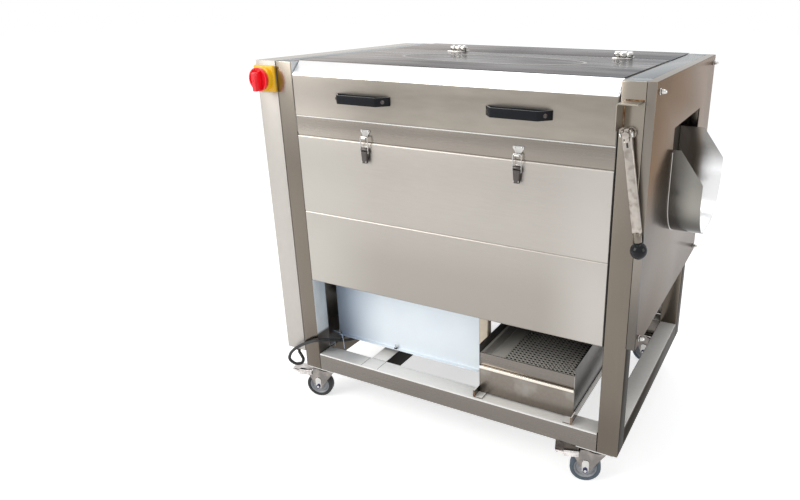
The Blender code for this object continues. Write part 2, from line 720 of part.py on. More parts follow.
def chain_wraps(axes):
    """The part of each sprocket that the chain lies on: its centre and the first and last angle."""
    middle = sum((Vector(axis) for axis in axes), Vector((0, 0))) / len(axes)
    ring = sorted(axes, key=lambda axis: math.atan2(axis[1] - middle.y, axis[0] - middle.x))
    headings = []
    for here, following in zip(ring, ring[1:] + ring[:1]):
        headings.append(math.degrees(math.atan2(following[1] - here[1], following[0] - here[0])))
    wraps = []
    for i, centre in enumerate(ring):
        first = headings[i - 1] - 90
        swing = (headings[i] - headings[i - 1]) % 360
        wraps.append((centre, first, first + swing))
    return wraps


def chain_line(axes, offset):
    """The closed line of a chain, moved out from its pitch line by an offset."""
    line = []
    for centre, first, last in chain_wraps(axes):
        steps = max(1, round((last - first) / CHAIN_ARC_STEP))
        line += arc(centre, pitch_radius() + offset, first, last, steps)
    return line


def free_rollers(axes):
    """Every fourth chain roller on the straight runs, clear of every sprocket's teeth."""
    wraps = chain_wraps(axes)
    spacing = CHAIN_PITCH * CHAIN_ROLLER_PITCHES
    rollers = []
    for (centre, _, last), (following, first, _) in zip(wraps, wraps[1:] + wraps[:1]):
        start = Vector(arc(centre, pitch_radius(), last, last, 1)[0])
        end = Vector(arc(following, pitch_radius(), first, first, 1)[0])
        clear = pitch_radius() + TOOTH_ADDENDUM + CHAIN_ROLLER_RADIUS + GAP
        margin = math.sqrt(clear * clear - pitch_radius() * pitch_radius())
        room = (end - start).length - 2 * margin
        count = int(room / spacing) + 1
        first_at = margin + (room - (count - 1) * spacing) / 2
        heading = (end - start).normalized()
        rollers += [start + heading * (first_at + i * spacing) for i in range(count)]
    return rollers


def chain(name, axes, plane):
    """Two link bands round the sprockets, joined by rollers along their straight runs."""
    half = CHAIN_LINK_HALF_HEIGHT
    band_start, band_end = CHAIN_INNER_HALF, CHAIN_INNER_HALF + CHAIN_LINK_THICKNESS
    outer = chain_line(axes, half)
    made = piece(name, "machined_steel", prism("X", outer, plane + band_start, plane + band_end))
    fuse(made, prism("X", outer, plane - band_end, plane - band_start))
    inner = chain_line(axes, -half)
    cut(made, prism("X", inner, plane - band_end - OVERRUN, plane + band_end + OVERRUN))
    reach = band_end - CHAIN_LINK_THICKNESS / 2
    for place in free_rollers(axes):
        fuse(made, rod("X", place, CHAIN_ROLLER_RADIUS, plane - reach, plane + reach, sides=6))


def sprocket(centre, plane):
    """A toothed disc that turns between the chain's link bands."""
    root = pitch_radius() - CHAIN_ROLLER_RADIUS - TOOTH_SEAT_SPACE
    tip = pitch_radius() + TOOTH_ADDENDUM
    pitch_angle = 360 / TOOTH_COUNT
    outline = []
    for tooth in range(TOOTH_COUNT):
        seat = tooth * pitch_angle
        for share, reach in ((-TOOTH_ROOT_SHARE, root), (TOOTH_ROOT_SHARE, root), (TOOTH_TIP_SHARE, tip)):
            angle = seat + share * pitch_angle
            outline += arc(centre, reach, angle, angle, 1)[:1]
    return prism("X", outline, plane - TOOTH_HALF_WIDTH, plane + TOOTH_HALF_WIDTH)


def rollers_and_drive():
    """Nine brush rollers, the chain round their sprockets and the drive from the gear motor."""
    roller_plane = -ROLLER_CHAIN_OUT
    drive_plane = -DRIVE_CHAIN_OUT
    motor_axis = (MOTOR_AXIS_Y, MOTOR_AXIS_Z)
    bottom_axis = ROLLER_AXES[BOTTOM_ROLLER]
    chain("roller_chain", ROLLER_AXES, roller_plane)
    chain("drive_chain", [bottom_axis, motor_axis], drive_plane)
    brush_left = LEFT_INNER + BRUSH_END_SPACE
    brush_right = RIGHT_INNER - BRUSH_END_SPACE
    shaft_right = RIGHT_INNER + BEARING_PLATE + RIGHT_BOSS_LENGTH
    for index, centre in enumerate(ROLLER_AXES):
        driven = index == BOTTOM_ROLLER
        shaft_left = (drive_plane if driven else roller_plane) - TOOTH_HALF_WIDTH - SHEET
        profile = (
            (shaft_left, 0),
            (shaft_left, SHAFT_RADIUS),
            (brush_left, SHAFT_RADIUS),
            (brush_left, BRUSH_RADIUS),
            (brush_right, BRUSH_RADIUS),
            (brush_right, SHAFT_RADIUS),
            (shaft_right, SHAFT_RADIUS),
            (shaft_right, 0),
        )
        name = f"brush_roller_{index + 1}"
        shape = turned("X", centre, profile, 16)
        roller = piece(name, "nylon_bristle", shape, pivot=(0, *centre))
        fuse(roller, sprocket(centre, roller_plane))
        if driven:
            fuse(roller, sprocket(centre, drive_plane))
    shaft_end = LEFT_INNER + GEARBOX_FROM_FRAME - GAP
    shape = rod("X", motor_axis, MOTOR_SHAFT_RADIUS, drive_plane - TOOTH_HALF_WIDTH - SHEET, shaft_end)
    motor_sprocket = piece("motor_sprocket", "machined_steel", shape, pivot=(0, *motor_axis))
    fuse(motor_sprocket, sprocket(motor_axis, drive_plane))
    hub_end = drive_plane + TOOTH_HALF_WIDTH + SPROCKET_HUB_RADIUS / 2
    fuse(motor_sprocket, rod("X", motor_axis, SPROCKET_HUB_RADIUS, drive_plane, hub_end))


def gearmotor():
    """The gear motor on its base plate across the bottom rails' cross member."""
    y, z = MOTOR_AXIS_Y, MOTOR_AXIS_Z
    left = LEFT_INNER + GEARBOX_FROM_FRAME
    box_right = left + GEARBOX_LENGTH
    half = GEARBOX_HALF_WIDTH
    base_top = RAIL_TOP + GAP + MOTOR_BASE_THICKNESS
    motor = piece("gearmotor", "motor_paint", block((left, y - half, base_top - WELD), (box_right, y + half, z + half)))
    base_low = (left, y - half - MOTOR_BASE_MARGIN, RAIL_TOP + GAP)
    base_high = (box_right + MOTOR_LENGTH, y + half + MOTOR_BASE_MARGIN, base_top)
    fuse(motor, block(base_low, base_high))
    fan_start = box_right + MOTOR_LENGTH - MOTOR_FAN_COVER
    body = (
        (box_right - WELD, 0),
        (box_right - WELD, MOTOR_RADIUS),
        (fan_start, MOTOR_RADIUS),
        (fan_start, MOTOR_RADIUS + FAN_COVER_STEP),
        (box_right + MOTOR_LENGTH, MOTOR_RADIUS),
        (box_right + MOTOR_LENGTH, 0),
    )
    fuse(motor, turned("X", (y, z), body, 20))
    foot_low = (box_right + MOTOR_LENGTH / 4, y - half / 2, base_top - WELD)
    fuse(motor, block(foot_low, (fan_start - OVERRUN, y + half / 2, z)))


def panel(name, bottom, top):
    """A front sheet with its top and bottom edges folded back."""
    line = ((PANEL_RETURN, bottom), (0, bottom), (0, top), (PANEL_RETURN, top))
    outline = folded(line[::-1], SHEET)
    return piece(name, "matt_stainless", prism("X", outline, SPAN_LEFT, SPAN_RIGHT))


def panels():
    """The two front panels, with the latch bases on the upper one, and the rear panel."""
    panel("lower_front_panel", PANEL_BOTTOM, PANEL_SEAM)
    upper = panel("upper_front_panel", PANEL_SEAM + GAP, LATCH_RAIL_BOTTOM - GAP)
    pivot = (-LATCH_STANDOFF, LATCH_PIVOT_Z)
    lug = LATCH_LUG_HALF
    nose_radius = LATCH_LEVER_FRONT - LATCH_LEVER_SHEET - GAP
    for share in LATCH_CENTRE_SHARES:
        x = span_place(share)
        nose = arc(pivot, nose_radius, 90, 270, 6)
        outline = [(WELD, pivot[1] + nose_radius)] + nose + [(WELD, pivot[1] - nose_radius)]
        fuse(upper, prism("X", outline, x - lug, x + lug))
        base_low = (x - lug, -SHEET, pivot[1] - LATCH_LEVER_BELOW / 2)
        fuse(upper, block(base_low, (x + lug, WELD, pivot[1])))
        fuse(upper, rod("X", pivot, LATCH_PIN_RADIUS, x - LATCH_LEVER_HALF, x + LATCH_LEVER_HALF, sides=6))
    rear_top = HEIGHT - SHEET - GAP - TUBE - GAP
    low = (SPAN_LEFT, DEPTH - SHEET, RAIL_TOP + GAP)
    rear = piece("rear_panel", "matt_stainless", block(low, (SPAN_RIGHT, DEPTH, rear_top)))
    inlet = (LEFT_INNER + SPRAY_INLET_FROM_LEFT, SPRAY_Z)
    cut(rear, bore("Y", inlet, SPRAY_RADIUS - WELD, DEPTH - SHEET, DEPTH, sides=12))


def latches():
    """Levers and wire bails of the toggle latches, closed."""
    pivot = (-LATCH_STANDOFF, LATCH_PIVOT_Z)
    wire = LATCH_BAIL_WIRE
    sheet = LATCH_LEVER_SHEET
    half = LATCH_LEVER_HALF
    front = pivot[0] - LATCH_LEVER_FRONT
    rear = pivot[0] + LATCH_LEVER_REAR
    top = pivot[1] + LATCH_LEVER_ABOVE
    bottom = pivot[1] - LATCH_LEVER_BELOW
    bail_axis = (pivot[0], pivot[1] - LATCH_BAIL_OFFSET)
    crossbar = LATCH_LEDGE_TOP + GAP + wire
    for side, share in zip(("left", "right"), LATCH_CENTRE_SHARES):
        x = span_place(share)
        shape = block((x - half, front, bottom), (x + half, rear, top))
        lever = piece(f"latch_lever_{side}", "polished_stainless", shape, pivot=(x, *pivot))
        inside_low = (x - half + sheet, front + sheet, bottom - OVERRUN)
        cut(lever, block(inside_low, (x + half - sheet, rear + OVERRUN, top + OVERRUN)))
        open_low = (x - half + sheet, front - OVERRUN, pivot[1] - LATCH_LEVER_WINDOW)
        cut(lever, block(open_low, (x + half - sheet, pivot[0], top + OVERRUN)))
        for centre in (pivot, bail_axis):
            cut(lever, bore("X", centre, LATCH_PIN_RADIUS, x - half, x + half, sides=6))
        leg = half + GAP
        outer = leg + wire
        low = (x - outer, bail_axis[0] - wire / 2, bail_axis[1] - wire / 2)
        shape = block(low, (x + outer, bail_axis[0] + wire / 2, crossbar))
        bail = piece(f"latch_bail_{side}", "polished_stainless", shape, pivot=(x, *bail_axis))
        window_low = (x - leg, bail_axis[0] - wire, bail_axis[1] - wire)
        cut(bail, block(window_low, (x + leg, bail_axis[0] + wire, crossbar - wire)))
        fuse(bail, rod("X", bail_axis, LATCH_PIN_RADIUS, x - leg - WELD, x + leg + WELD, sides=6))


def lid_and_deck():
    """The hinged lid with its moving hinge knuckles, and the fixed deck behind it."""
    left = LEFT_INNER + LID_SIDE_SPACE
    right = RIGHT_INNER - LID_SIDE_SPACE
    bottom = LATCH_RAIL_TOP + GAP
    line = (
        (LID_FRONT_RETURN, bottom),
        (0, bottom),
        (0, HEIGHT - LID_CHAMFER),
        (LID_CHAMFER, HEIGHT),
        (LID_BACK, HEIGHT),
        (LID_BACK, HEIGHT - LID_BACK_FLANGE),
    )
    axis = (HINGE_AXIS_Y, HEIGHT + HINGE_AXIS_RISE)
    shell = prism("X", folded(line[::-1], SHEET), left, right)
    lid = piece("lid", "matt_stainless", shell, pivot=(0, *axis))
    side = folded(line[:0:-1], LID_SIDE_FLANGE)
    fuse(lid, prism("X", side, left, left + SHEET), prism("X", side, right - SHEET, right))
    middle_x = (left + right) / 2
    steps = 28
    for reach, change in ((BEAD_BREADTH / 2, fuse), (-BEAD_BREADTH / 2, cut)):
        half_x = BEAD_LENGTH / 2 + reach
        half_y = BEAD_WIDTH / 2 + reach
        oval = [(middle_x + half_x * x, BEAD_CENTRE_Y + half_y * y) for x, y in arc((0, 0), 1, 0, 360, steps)[:-1]]
        start = HEIGHT - WELD / 2 if change is fuse else HEIGHT
        change(lid, prism("Z", oval, start, HEIGHT + BEAD_HEIGHT + (0 if change is fuse else OVERRUN)))
    deck_line = ((DECK_FRONT, HEIGHT - DECK_FLANGE), (DECK_FRONT, HEIGHT), (DEPTH - GAP, HEIGHT))
    deck_outline = folded(deck_line[::-1], SHEET)
    piece("rear_deck", "matt_stainless", prism("X", deck_outline, SPAN_LEFT, SPAN_RIGHT))
    for name, share in zip(("hinge_left", "hinge_right"), HINGE_CENTRE_SHARES):
        hinge(lid, name, span_place(share), axis)


def hinge(lid, name, x, axis):
    """One butt hinge: the middle knuckle moves with the lid, the leaf behind holds the pin."""
    half = HINGE_HALF_LENGTH
    middle = HINGE_MIDDLE_HALF
    leaf_top = HEIGHT + HINGE_LEAF
    lid_edge = LID_BACK - GAP
    front = axis[0] - HINGE_LEAF_DEPTH
    fuse(lid, block((x - half, front, HEIGHT - WELD), (x + half, axis[0] - HINGE_RADIUS - GAP, leaf_top)))
    low = (x - middle, lid_edge - HINGE_RADIUS, HEIGHT + GAP)
    fuse(lid, block(low, (x + middle, axis[0], leaf_top + HINGE_LEAF)))
    fuse(lid, rod("X", axis, HINGE_RADIUS, x - middle, x + middle, sides=12))
    cut(lid, bore("X", axis, HINGE_PIN_RADIUS, x - middle, x + middle))
    back = axis[0] + HINGE_LEAF_DEPTH
    leaf_low = (x - half, axis[0] + HINGE_RADIUS + GAP, HEIGHT + GAP)
    fixed = piece(name, "polished_stainless", block(leaf_low, (x + half, back, leaf_top)))
    inner = middle + GAP
    for start, end in ((x - half, x - inner), (x + inner, x + half)):
        web_low = (start, axis[0] - HINGE_PIN_RADIUS, HEIGHT + GAP)
        fuse(fixed, block(web_low, (end, axis[0] + HINGE_RADIUS + WELD, leaf_top + HINGE_LEAF)))
        fuse(fixed, rod("X", axis, HINGE_RADIUS, start, end, sides=12))
    fuse(fixed, rod("X", axis, HINGE_PIN_RADIUS, x - half + WELD, x + half - WELD, sides=8))


def handles():
    """Strap handles with ends at 45 degrees, screwed to the lid's front."""
    bottom = HANDLE_CENTRE_Z - HANDLE_HEIGHT / 2
    top = HANDLE_CENTRE_Z + HANDLE_HEIGHT / 2
    for side, share in zip(("left", "right"), HANDLE_CENTRE_SHARES):
        x = span_place(share)
        bar = HANDLE_BAR_LENGTH / 2
        foot = bar + HANDLE_EAR
        rear = -GAP
        line = (
            (x - foot, rear),
            (x - bar, -HANDLE_STANDOFF),
            (x + bar, -HANDLE_STANDOFF),
            (x + foot, rear),
        )
        outline = folded(line, HANDLE_THICKNESS)
        outline[4].y = rear
        outline[-1].y = rear
        handle = piece(f"lid_handle_{side}", "black_plastic", prism("Z", outline, bottom, top))
        screw_x = bar + HANDLE_EAR / 2
        screw_y = -HANDLE_STANDOFF / 2 - HANDLE_SCREW_HEAD
        for way in (-1, 1):
            centre = (x + way * screw_x, HANDLE_CENTRE_Z)
            fuse(handle, rod("Y", centre, HANDLE_SCREW_RADIUS, screw_y - WELD, rear, sides=12))


def drive_cover():
    """The pan that hides the chains, and the isolator switch on its front."""
    top = HEIGHT - COVER_TOP_STEP
    low = (LEFT_COVER_FACE, 0, DRIVE_COVER_BOTTOM)
    cover = piece("drive_cover", "cover_sheet", block(low, (-GAP, DEPTH, top)))
    inside_low = (LEFT_COVER_FACE + SHEET, SHEET, DRIVE_COVER_BOTTOM + SHEET)
    cut(cover, block(inside_low, (OVERRUN, DEPTH - SHEET, top - SHEET)))
    x, z = DRIVE_COVER_MIDDLE, ISOLATOR_Z
    half = ISOLATOR_SIDE / 2
    front = -GAP - ISOLATOR_PLATE
    base = piece("isolator_base", "yellow_plastic", block((x - half, front, z - half), (x + half, -GAP, z + half)))
    rounding = base.modifiers.new("corners", "BEVEL")
    rounding.width = ISOLATOR_CORNER
    rounding.segments = 2
    rounding.limit_method = "ANGLE"
    axis = (x, z)
    back = front - GAP
    grip_front = back - KNOB_BASE - KNOB_GRIP_DEPTH
    profile = (
        (back, 0),
        (back, KNOB_RADIUS),
        (back - KNOB_BASE + WELD, KNOB_RADIUS),
        (back - KNOB_BASE, KNOB_RADIUS - WELD),
        (back - KNOB_BASE, 0),
    )
    knob = piece("isolator_knob", "red_plastic", turned("Y", axis, profile, 24), pivot=(x, 0, z))
    grip = KNOB_GRIP_HALF
    tall = KNOB_RADIUS - WELD
    fuse(knob, block((x - grip, grip_front, z - tall), (x + grip, back - WELD, z + tall)))
    hole_z = z + tall - KNOB_BASE
    middle_y = (grip_front + back - KNOB_BASE) / 2
    cut(knob, rod("X", (middle_y, hole_z), KNOB_HOLE_RADIUS, x - grip - OVERRUN, x + grip + OVERRUN, sides=8))


def end_cover_and_chute():
    """The plain pan on the discharge end, its fixing nuts and the chute through it."""
    start = WIDTH + GAP
    face = END_COVER_FACE
    top = HEIGHT
    cover = piece("end_cover", "matt_stainless", block((start, 0, END_COVER_BOTTOM), (face, DEPTH, top)))
    inside_low = (start - OVERRUN, SHEET, END_COVER_BOTTOM + SHEET)
    cut(cover, block(inside_low, (face - SHEET, DEPTH - SHEET, top - SHEET)))
    cut(cover, discharge_opening(face - SHEET - OVERRUN, face + OVERRUN, OPENING_TOP, SHEET + GAP))
    washer, hexagon, dome, tip = STUD_NUT_SHARES
    profile = (
        (face - WELD, 0),
        (face - WELD, STUD_WASHER_RADIUS),
        (face + washer * STUD_LENGTH, STUD_WASHER_RADIUS),
        (face + washer * STUD_LENGTH, STUD_NUT_RADIUS),
        (face + hexagon * STUD_LENGTH, STUD_NUT_RADIUS),
        (face + dome * STUD_LENGTH, STUD_NUT_RADIUS * dome),
        (face + tip * STUD_LENGTH, STUD_NUT_RADIUS * washer),
        (face + tip * STUD_LENGTH, 0),
    )
    for y in (STUD_INSET, DEPTH - STUD_INSET):
        for z in (END_COVER_BOTTOM + STUD_INSET_BELOW_TOP, HEIGHT - STUD_INSET_BELOW_TOP):
            fuse(cover, turned("X", (y, z), profile, 10))
    start = RIGHT_INNER + BEARING_PLATE + GAP
    inner = chute_section(0)
    line = [(inner[0][0], CHUTE_WALL_TOP)] + inner + [(inner[-1][0], CHUTE_WALL_TOP)]
    outline = folded(line[::-1], SHEET)
    chute = piece("discharge_chute", "matt_stainless", prism("X", outline, start, CHUTE_END))
    past = CHUTE_END + OVERRUN
    fall = (CHUTE_WALL_TOP - CHUTE_LIP_TOP) / (CHUTE_END - CHUTE_SLANT_START)
    rise = CHUTE_WALL_TOP + OVERRUN
    wedge = (
        (CHUTE_SLANT_START - OVERRUN / fall, rise),
        (past, CHUTE_LIP_TOP - OVERRUN * fall),
        (past, rise),
    )
    cut(chute, prism("Y", wedge, TROUGH_Y - CHUTE_HALF - OVERRUN, TROUGH_Y + CHUTE_HALF + OVERRUN))


def gate():
    """The flap on its rock shaft, the lever that works it and the ball on the lever."""
    axis = (GATE_AXIS_X, GATE_AXIS_Z)
    pivot = (GATE_AXIS_X, 0, GATE_AXIS_Z)
    shaft_back = TROUGH_Y + CHUTE_HALF + GATE_LUG + GATE_LUG
    shape = rod("Y", axis, GATE_SHAFT_RADIUS, GATE_SHAFT_FRONT, shaft_back)
    flap = piece("gate_flap", "matt_stainless", shape, pivot=pivot)
    space = GATE_SIDE_SPACE + SHEET
    lower = chute_section(-space)
    bottom = [(y, z + GATE_BOTTOM_SPACE - GATE_SIDE_SPACE) for y, z in lower]
    outline = [(bottom[0][0], GATE_AXIS_Z)] + bottom + [(bottom[-1][0], GATE_AXIS_Z)]
    fuse(flap, prism("X", outline, GATE_AXIS_X - SHEET / 2, GATE_AXIS_X + SHEET / 2))
    lean = math.radians(LEVER_LEAN)
    arm = Vector((math.sin(lean), -math.cos(lean)))
    side = Vector((-arm.y, arm.x))
    top = Vector(axis)
    half = LEVER_WIDTH / 2
    ferrule_start = top + arm * (LEVER_LENGTH - LEVER_FERRULE)
    outline = [top + side * half, ferrule_start + side * half, ferrule_start - side * half, top - side * half]
    front = LEVER_Y - LEVER_THICKNESS / 2
    back = LEVER_Y + LEVER_THICKNESS / 2
    lever = piece("gate_lever", "brushed_stainless", prism("Y", outline, front, back), pivot=pivot)
    fuse(lever, rod("Y", axis, LEVER_TOP_RADIUS, front - WELD, back + WELD, sides=20))
    end = top + arm * (LEVER_LENGTH + BALL_RADIUS)
    neck = LEVER_NECK_HALF
    neck_outline = [ferrule_start + side * neck, end + side * neck, end - side * neck, ferrule_start - side * neck]
    neck_outline = [point - arm * WELD for point in neck_outline]
    neck_outline[1] = ferrule_start + arm * LEVER_FERRULE + side * neck
    neck_outline[2] = ferrule_start + arm * LEVER_FERRULE - side * neck
    fuse(lever, prism("Y", neck_outline, front + WELD, back - WELD))
    cut(lever, bore("Y", axis, GATE_SHAFT_RADIUS, front, back, sides=12))
    ball_centre = top + arm * (LEVER_LENGTH + BALL_RADIUS + GAP)
    ball = bmesh.new()
    bmesh.ops.create_uvsphere(ball, u_segments=16, v_segments=10, radius=BALL_RADIUS)
    bmesh.ops.translate(ball, verts=ball.verts, vec=(ball_centre.x, LEVER_Y, ball_centre.y))
    piece("lever_ball", "black_plastic", ball, pivot=pivot)


def splash_and_hopper():
    """The sheet in front of the motor and the hopper that leads water and peel to the sieve."""
    top = PANEL_BOTTOM - GAP
    y = SPLASH_Y + SHEET
    line = ((SPLASH_Y - SPLASH_LIP, SPLASH_BOTTOM), (y, SPLASH_BOTTOM), (y, top), (SPLASH_FRONT_SPACE, top))
    outline = folded(line, SHEET)
    piece("splash_panel", "splash_sheet", prism("X", outline, SPAN_LEFT, SPLASH_RIGHT))
    inset = HOPPER_SPOUT_INSET
    front = SPLASH_Y + SHEET + GAP
    spout = (BOX_LEFT + inset, BOX_RIGHT - inset, front, DEPTH - BOX_BACK_SPACE - inset)
    rim = (SPAN_LEFT, SPAN_RIGHT, front, DEPTH - HOPPER_MARGIN)
    spout_top = HOPPER_SPOUT_BOTTOM + HOPPER_SPOUT
    rim_bottom = HOPPER_RIM_TOP - HOPPER_RIM

    def sections(inset, reach):
        (left, right, front, back), (low_left, low_right, low_front, low_back) = rim, spout
        small = (low_left + inset, low_right - inset, low_front + inset, low_back - inset)
        large = (left + inset, right - inset, front + inset, back - inset)
        return (
            (HOPPER_SPOUT_BOTTOM - reach, *small),
            (spout_top + inset, *small),
            (rim_bottom + inset, *large),
            (HOPPER_RIM_TOP + reach, *large),
        )

    hopper = piece("hopper", "matt_stainless", loft(sections(0, 0)))
    cut(hopper, loft(sections(SHEET, OVERRUN)))


def residue_box():
    """The drawer for peel, with a lower front, and the sieve tray that rides in it."""
    right = BOX_RIGHT - GAP
    left = BOX_LEFT + GAP
    front, back = BOX_FRONT, DEPTH - BOX_BACK_SPACE
    bottom = RAIL_TOP + RUNNER_THICKNESS + GAP
    box = piece("residue_box", "matt_stainless", block((left, front, bottom), (right, back, BOX_WALL_TOP)))
    inside_low = (left + SHEET, front + SHEET, bottom + SHEET)
    cut(box, block(inside_low, (right - SHEET, back - SHEET, BOX_WALL_TOP + OVERRUN)))
    notch_low = (left + SHEET, front - OVERRUN, BOX_FRONT_TOP)
    cut(box, block(notch_low, (right - SHEET, front + SHEET + OVERRUN, BOX_WALL_TOP + OVERRUN)))
    inner_left, inner_right = left + SHEET, right - SHEET
    for wall, lip in ((inner_left - WELD, inner_left + TRAY_LEDGE), (inner_right - TRAY_LEDGE, inner_right + WELD)):
        ledge_back = back - SHEET / 2
        fuse(box, block((wall, front + OVERRUN, BOX_FRONT_TOP - SHEET), (lip, ledge_back, BOX_FRONT_TOP)))
    drain = ((left + right) / 2, bottom + BOX_DRAIN_RISE)
    fuse(box, rod("Y", drain, BOX_DRAIN_RADIUS, back - SHEET / 2, back + BOX_DRAIN_LENGTH))
    cut(box, bore("Y", drain, BOX_DRAIN_RADIUS - SHEET, back - SHEET, back + BOX_DRAIN_LENGTH, sides=16))
    tray_left = left + SHEET + TRAY_SIDE_SPACE
    tray_right = right - SHEET - TRAY_SIDE_SPACE
    tray_front = front + TRAY_FRONT_SPACE
    tray_back = back - SHEET - TRAY_SIDE_SPACE
    tray_bottom = BOX_FRONT_TOP + GAP
    low = (tray_left, tray_front, tray_bottom)
    tray = piece("sieve_tray", "matt_stainless", block(low, (tray_right, tray_back, TRAY_PLATE_TOP)))
    hollow_low = (tray_left + SHEET, tray_front + SHEET)
    hollow_high = (tray_right - SHEET, tray_back - SHEET)
    under_top = TRAY_SHEET_TOP - SHEET
    cut(tray, block((*hollow_low, tray_bottom - OVERRUN), (*hollow_high, under_top)))
    cut(tray, block((*hollow_low, TRAY_SHEET_TOP), (*hollow_high, TRAY_PLATE_TOP + OVERRUN)))
    holes = bmesh.new()
    first_x, last_x = tray_left + SIEVE_MARGIN, tray_right - SIEVE_MARGIN
    first_y, last_y = tray_front + SIEVE_MARGIN, tray_back - SIEVE_MARGIN
    for column in range(SIEVE_COLUMNS):
        x = first_x + (last_x - first_x) * column / (SIEVE_COLUMNS - 1)
        for row in range(SIEVE_ROWS):
            y = first_y + (last_y - first_y) * row / (SIEVE_ROWS - 1)
            hole = rod("Z", (x, y), SIEVE_HOLE_RADIUS, under_top - OVERRUN, TRAY_SHEET_TOP + OVERRUN, sides=4)
            hole_mesh = bpy.data.meshes.new("hole")
            hole.to_mesh(hole_mesh)
            hole.free()
            holes.from_mesh(hole_mesh)
            bpy.data.meshes.remove(hole_mesh)
    cut(tray, holes)


def spray_pipe():
    """The perforated pipe over the rollers and its inlet through the rear panel."""
    axis = (SPRAY_Y, SPRAY_Z)
    shape = rod("X", axis, SPRAY_RADIUS, SPAN_LEFT, SPAN_RIGHT, sides=12)
    pipe = piece("spray_pipe", "polished_stainless", shape)
    flange = SPRAY_FLANGE
    for start, end in ((SPAN_LEFT, SPAN_LEFT + flange), (SPAN_RIGHT - flange, SPAN_RIGHT)):
        fuse(pipe, rod("X", axis, SPRAY_FLANGE_RADIUS, start, end))
    inlet = (LEFT_INNER + SPRAY_INLET_FROM_LEFT, SPRAY_Z)
    fuse(pipe, rod("Y", inlet, SPRAY_RADIUS - WELD, SPRAY_Y, SPRAY_INLET_END, sides=12))
    fuse(pipe, rod("Y", inlet, SPRAY_UNION_RADIUS, DEPTH + GAP, SPRAY_INLET_END - WELD, sides=6))
    for index in range(NOZZLE_COUNT):
        share = (index + 1 / 2) / NOZZLE_COUNT
        bottom = SPRAY_Z - SPRAY_RADIUS - NOZZLE_LENGTH
        fuse(pipe, rod("Z", (span_place(share), SPRAY_Y), NOZZLE_RADIUS, bottom, SPRAY_Z, sides=6))


def fork_side_outline():
    """Side plate of a caster fork, drawn as (x, z) from the swivel's axis."""
    axle = (-TRAIL, WHEEL_RADIUS)
    foot = arc(axle, FORK_FOOT_RADIUS, -40, -190, 5)
    crown = CROWN_TOP - CROWN / 2
    return (
        [(-FORK_SHOULDER, crown), (FORK_FRONT, crown)]
        + foot
        + [(-FORK_WING, FORK_WING_BOTTOM), (-FORK_WING, FORK_WING_TOP), (-FORK_SHOULDER, FORK_WING_TOP)]
    )


def caster(place, x, y, heading, braked):
    """Fork, wheel and brake pedal, carried by an empty on the swivel's axis."""
    swivel = bpy.data.objects.new(f"swivel_{place}", None)
    bpy.context.scene.collection.objects.link(swivel)
    swivel.location = Vector((x, y, 0)) - ORIGIN
    swivel.rotation_euler = (0, 0, math.radians(heading))
    inner = WHEEL_HUB_HALF + GAP
    outer = inner + FORK_SIDE
    crown_bottom = CROWN_TOP - CROWN
    shape = rod("Z", (0, 0), CROWN_RADIUS, crown_bottom, CROWN_TOP)
    fork = piece(f"caster_fork_{place}", "polished_stainless", shape, carrier=swivel)
    fuse(fork, block((-FORK_SHOULDER, -outer, crown_bottom), (FORK_FRONT, outer, CROWN_TOP)))
    outline = fork_side_outline()
    fuse(fork, prism("Y", outline, -outer, -inner), prism("Y", outline, inner, outer))
    axle = (-TRAIL, WHEEL_RADIUS)
    fuse(fork, rod("Y", axle, AXLE_RADIUS, -outer - WELD, outer + WELD, sides=8))
    nut = outer + AXLE_NUT_LENGTH
    fuse(fork, rod("Y", axle, AXLE_NUT_RADIUS, -nut, -outer + WELD, sides=6))
    fuse(fork, rod("Y", axle, AXLE_NUT_RADIUS, outer - WELD, nut, sides=6))
    profile = (
        (-WHEEL_HUB_HALF, AXLE_RADIUS + GAP + GAP),
        (-WHEEL_HUB_HALF, WHEEL_HUB_RADIUS),
        (-WHEEL_WEB_HALF, WHEEL_HUB_RADIUS),
        (-WHEEL_HALF, WHEEL_RIM_RADIUS),
        (-WHEEL_HALF + TYRE_ROUND, WHEEL_RADIUS),
    )
    mirrored = tuple((-distance, radius) for distance, radius in reversed(profile))
    ring = profile + mirrored + profile[:1]
    shape = turned("Y", axle, ring, 20)
    look = "black_rubber" if place.endswith("left") else "grey_rubber"
    piece(f"caster_wheel_{place}", look, shape, pivot=(axle[0], 0, axle[1]), carrier=swivel)
    if braked:
        pin = (-PEDAL_PIVOT_BACK, PEDAL_PIVOT_Z)
        cut(fork, bore("Y", pin, PEDAL_PIN_RADIUS, -outer, outer, sides=8))
        brake_pedal(place, swivel, pin, outer + GAP)


def brake_pedal(place, swivel, pin, inner):
    """A channel of sheet that straddles the fork's wings on its pin."""
    outer = inner + PEDAL_SHEET
    top = PEDAL_UNDERSIDE + PEDAL_SHEET
    line = (
        (-PEDAL_INNER, top),
        (-PEDAL_OUTER + PEDAL_TIP, top),
        (-PEDAL_OUTER, top + PEDAL_TIP_RISE),
    )
    shape = prism("Y", folded(line, PEDAL_SHEET), -outer, outer)
    name = f"brake_pedal_{place}"
    pedal = piece(name, "polished_stainless", shape, pivot=(pin[0], 0, pin[1]), carrier=swivel)
    lip_end = -PEDAL_OUTER + PEDAL_TIP
    middle = PEDAL_UNDERSIDE + PEDAL_SHEET / 2
    for start, end in ((-outer, -inner), (inner, outer)):
        fuse(pedal, block((lip_end, start, PEDAL_LIP_BOTTOM), (-PEDAL_INNER, end, middle)))
    fuse(pedal, rod("Y", pin, PEDAL_PIN_RADIUS, -inner - WELD, inner + WELD, sides=8))


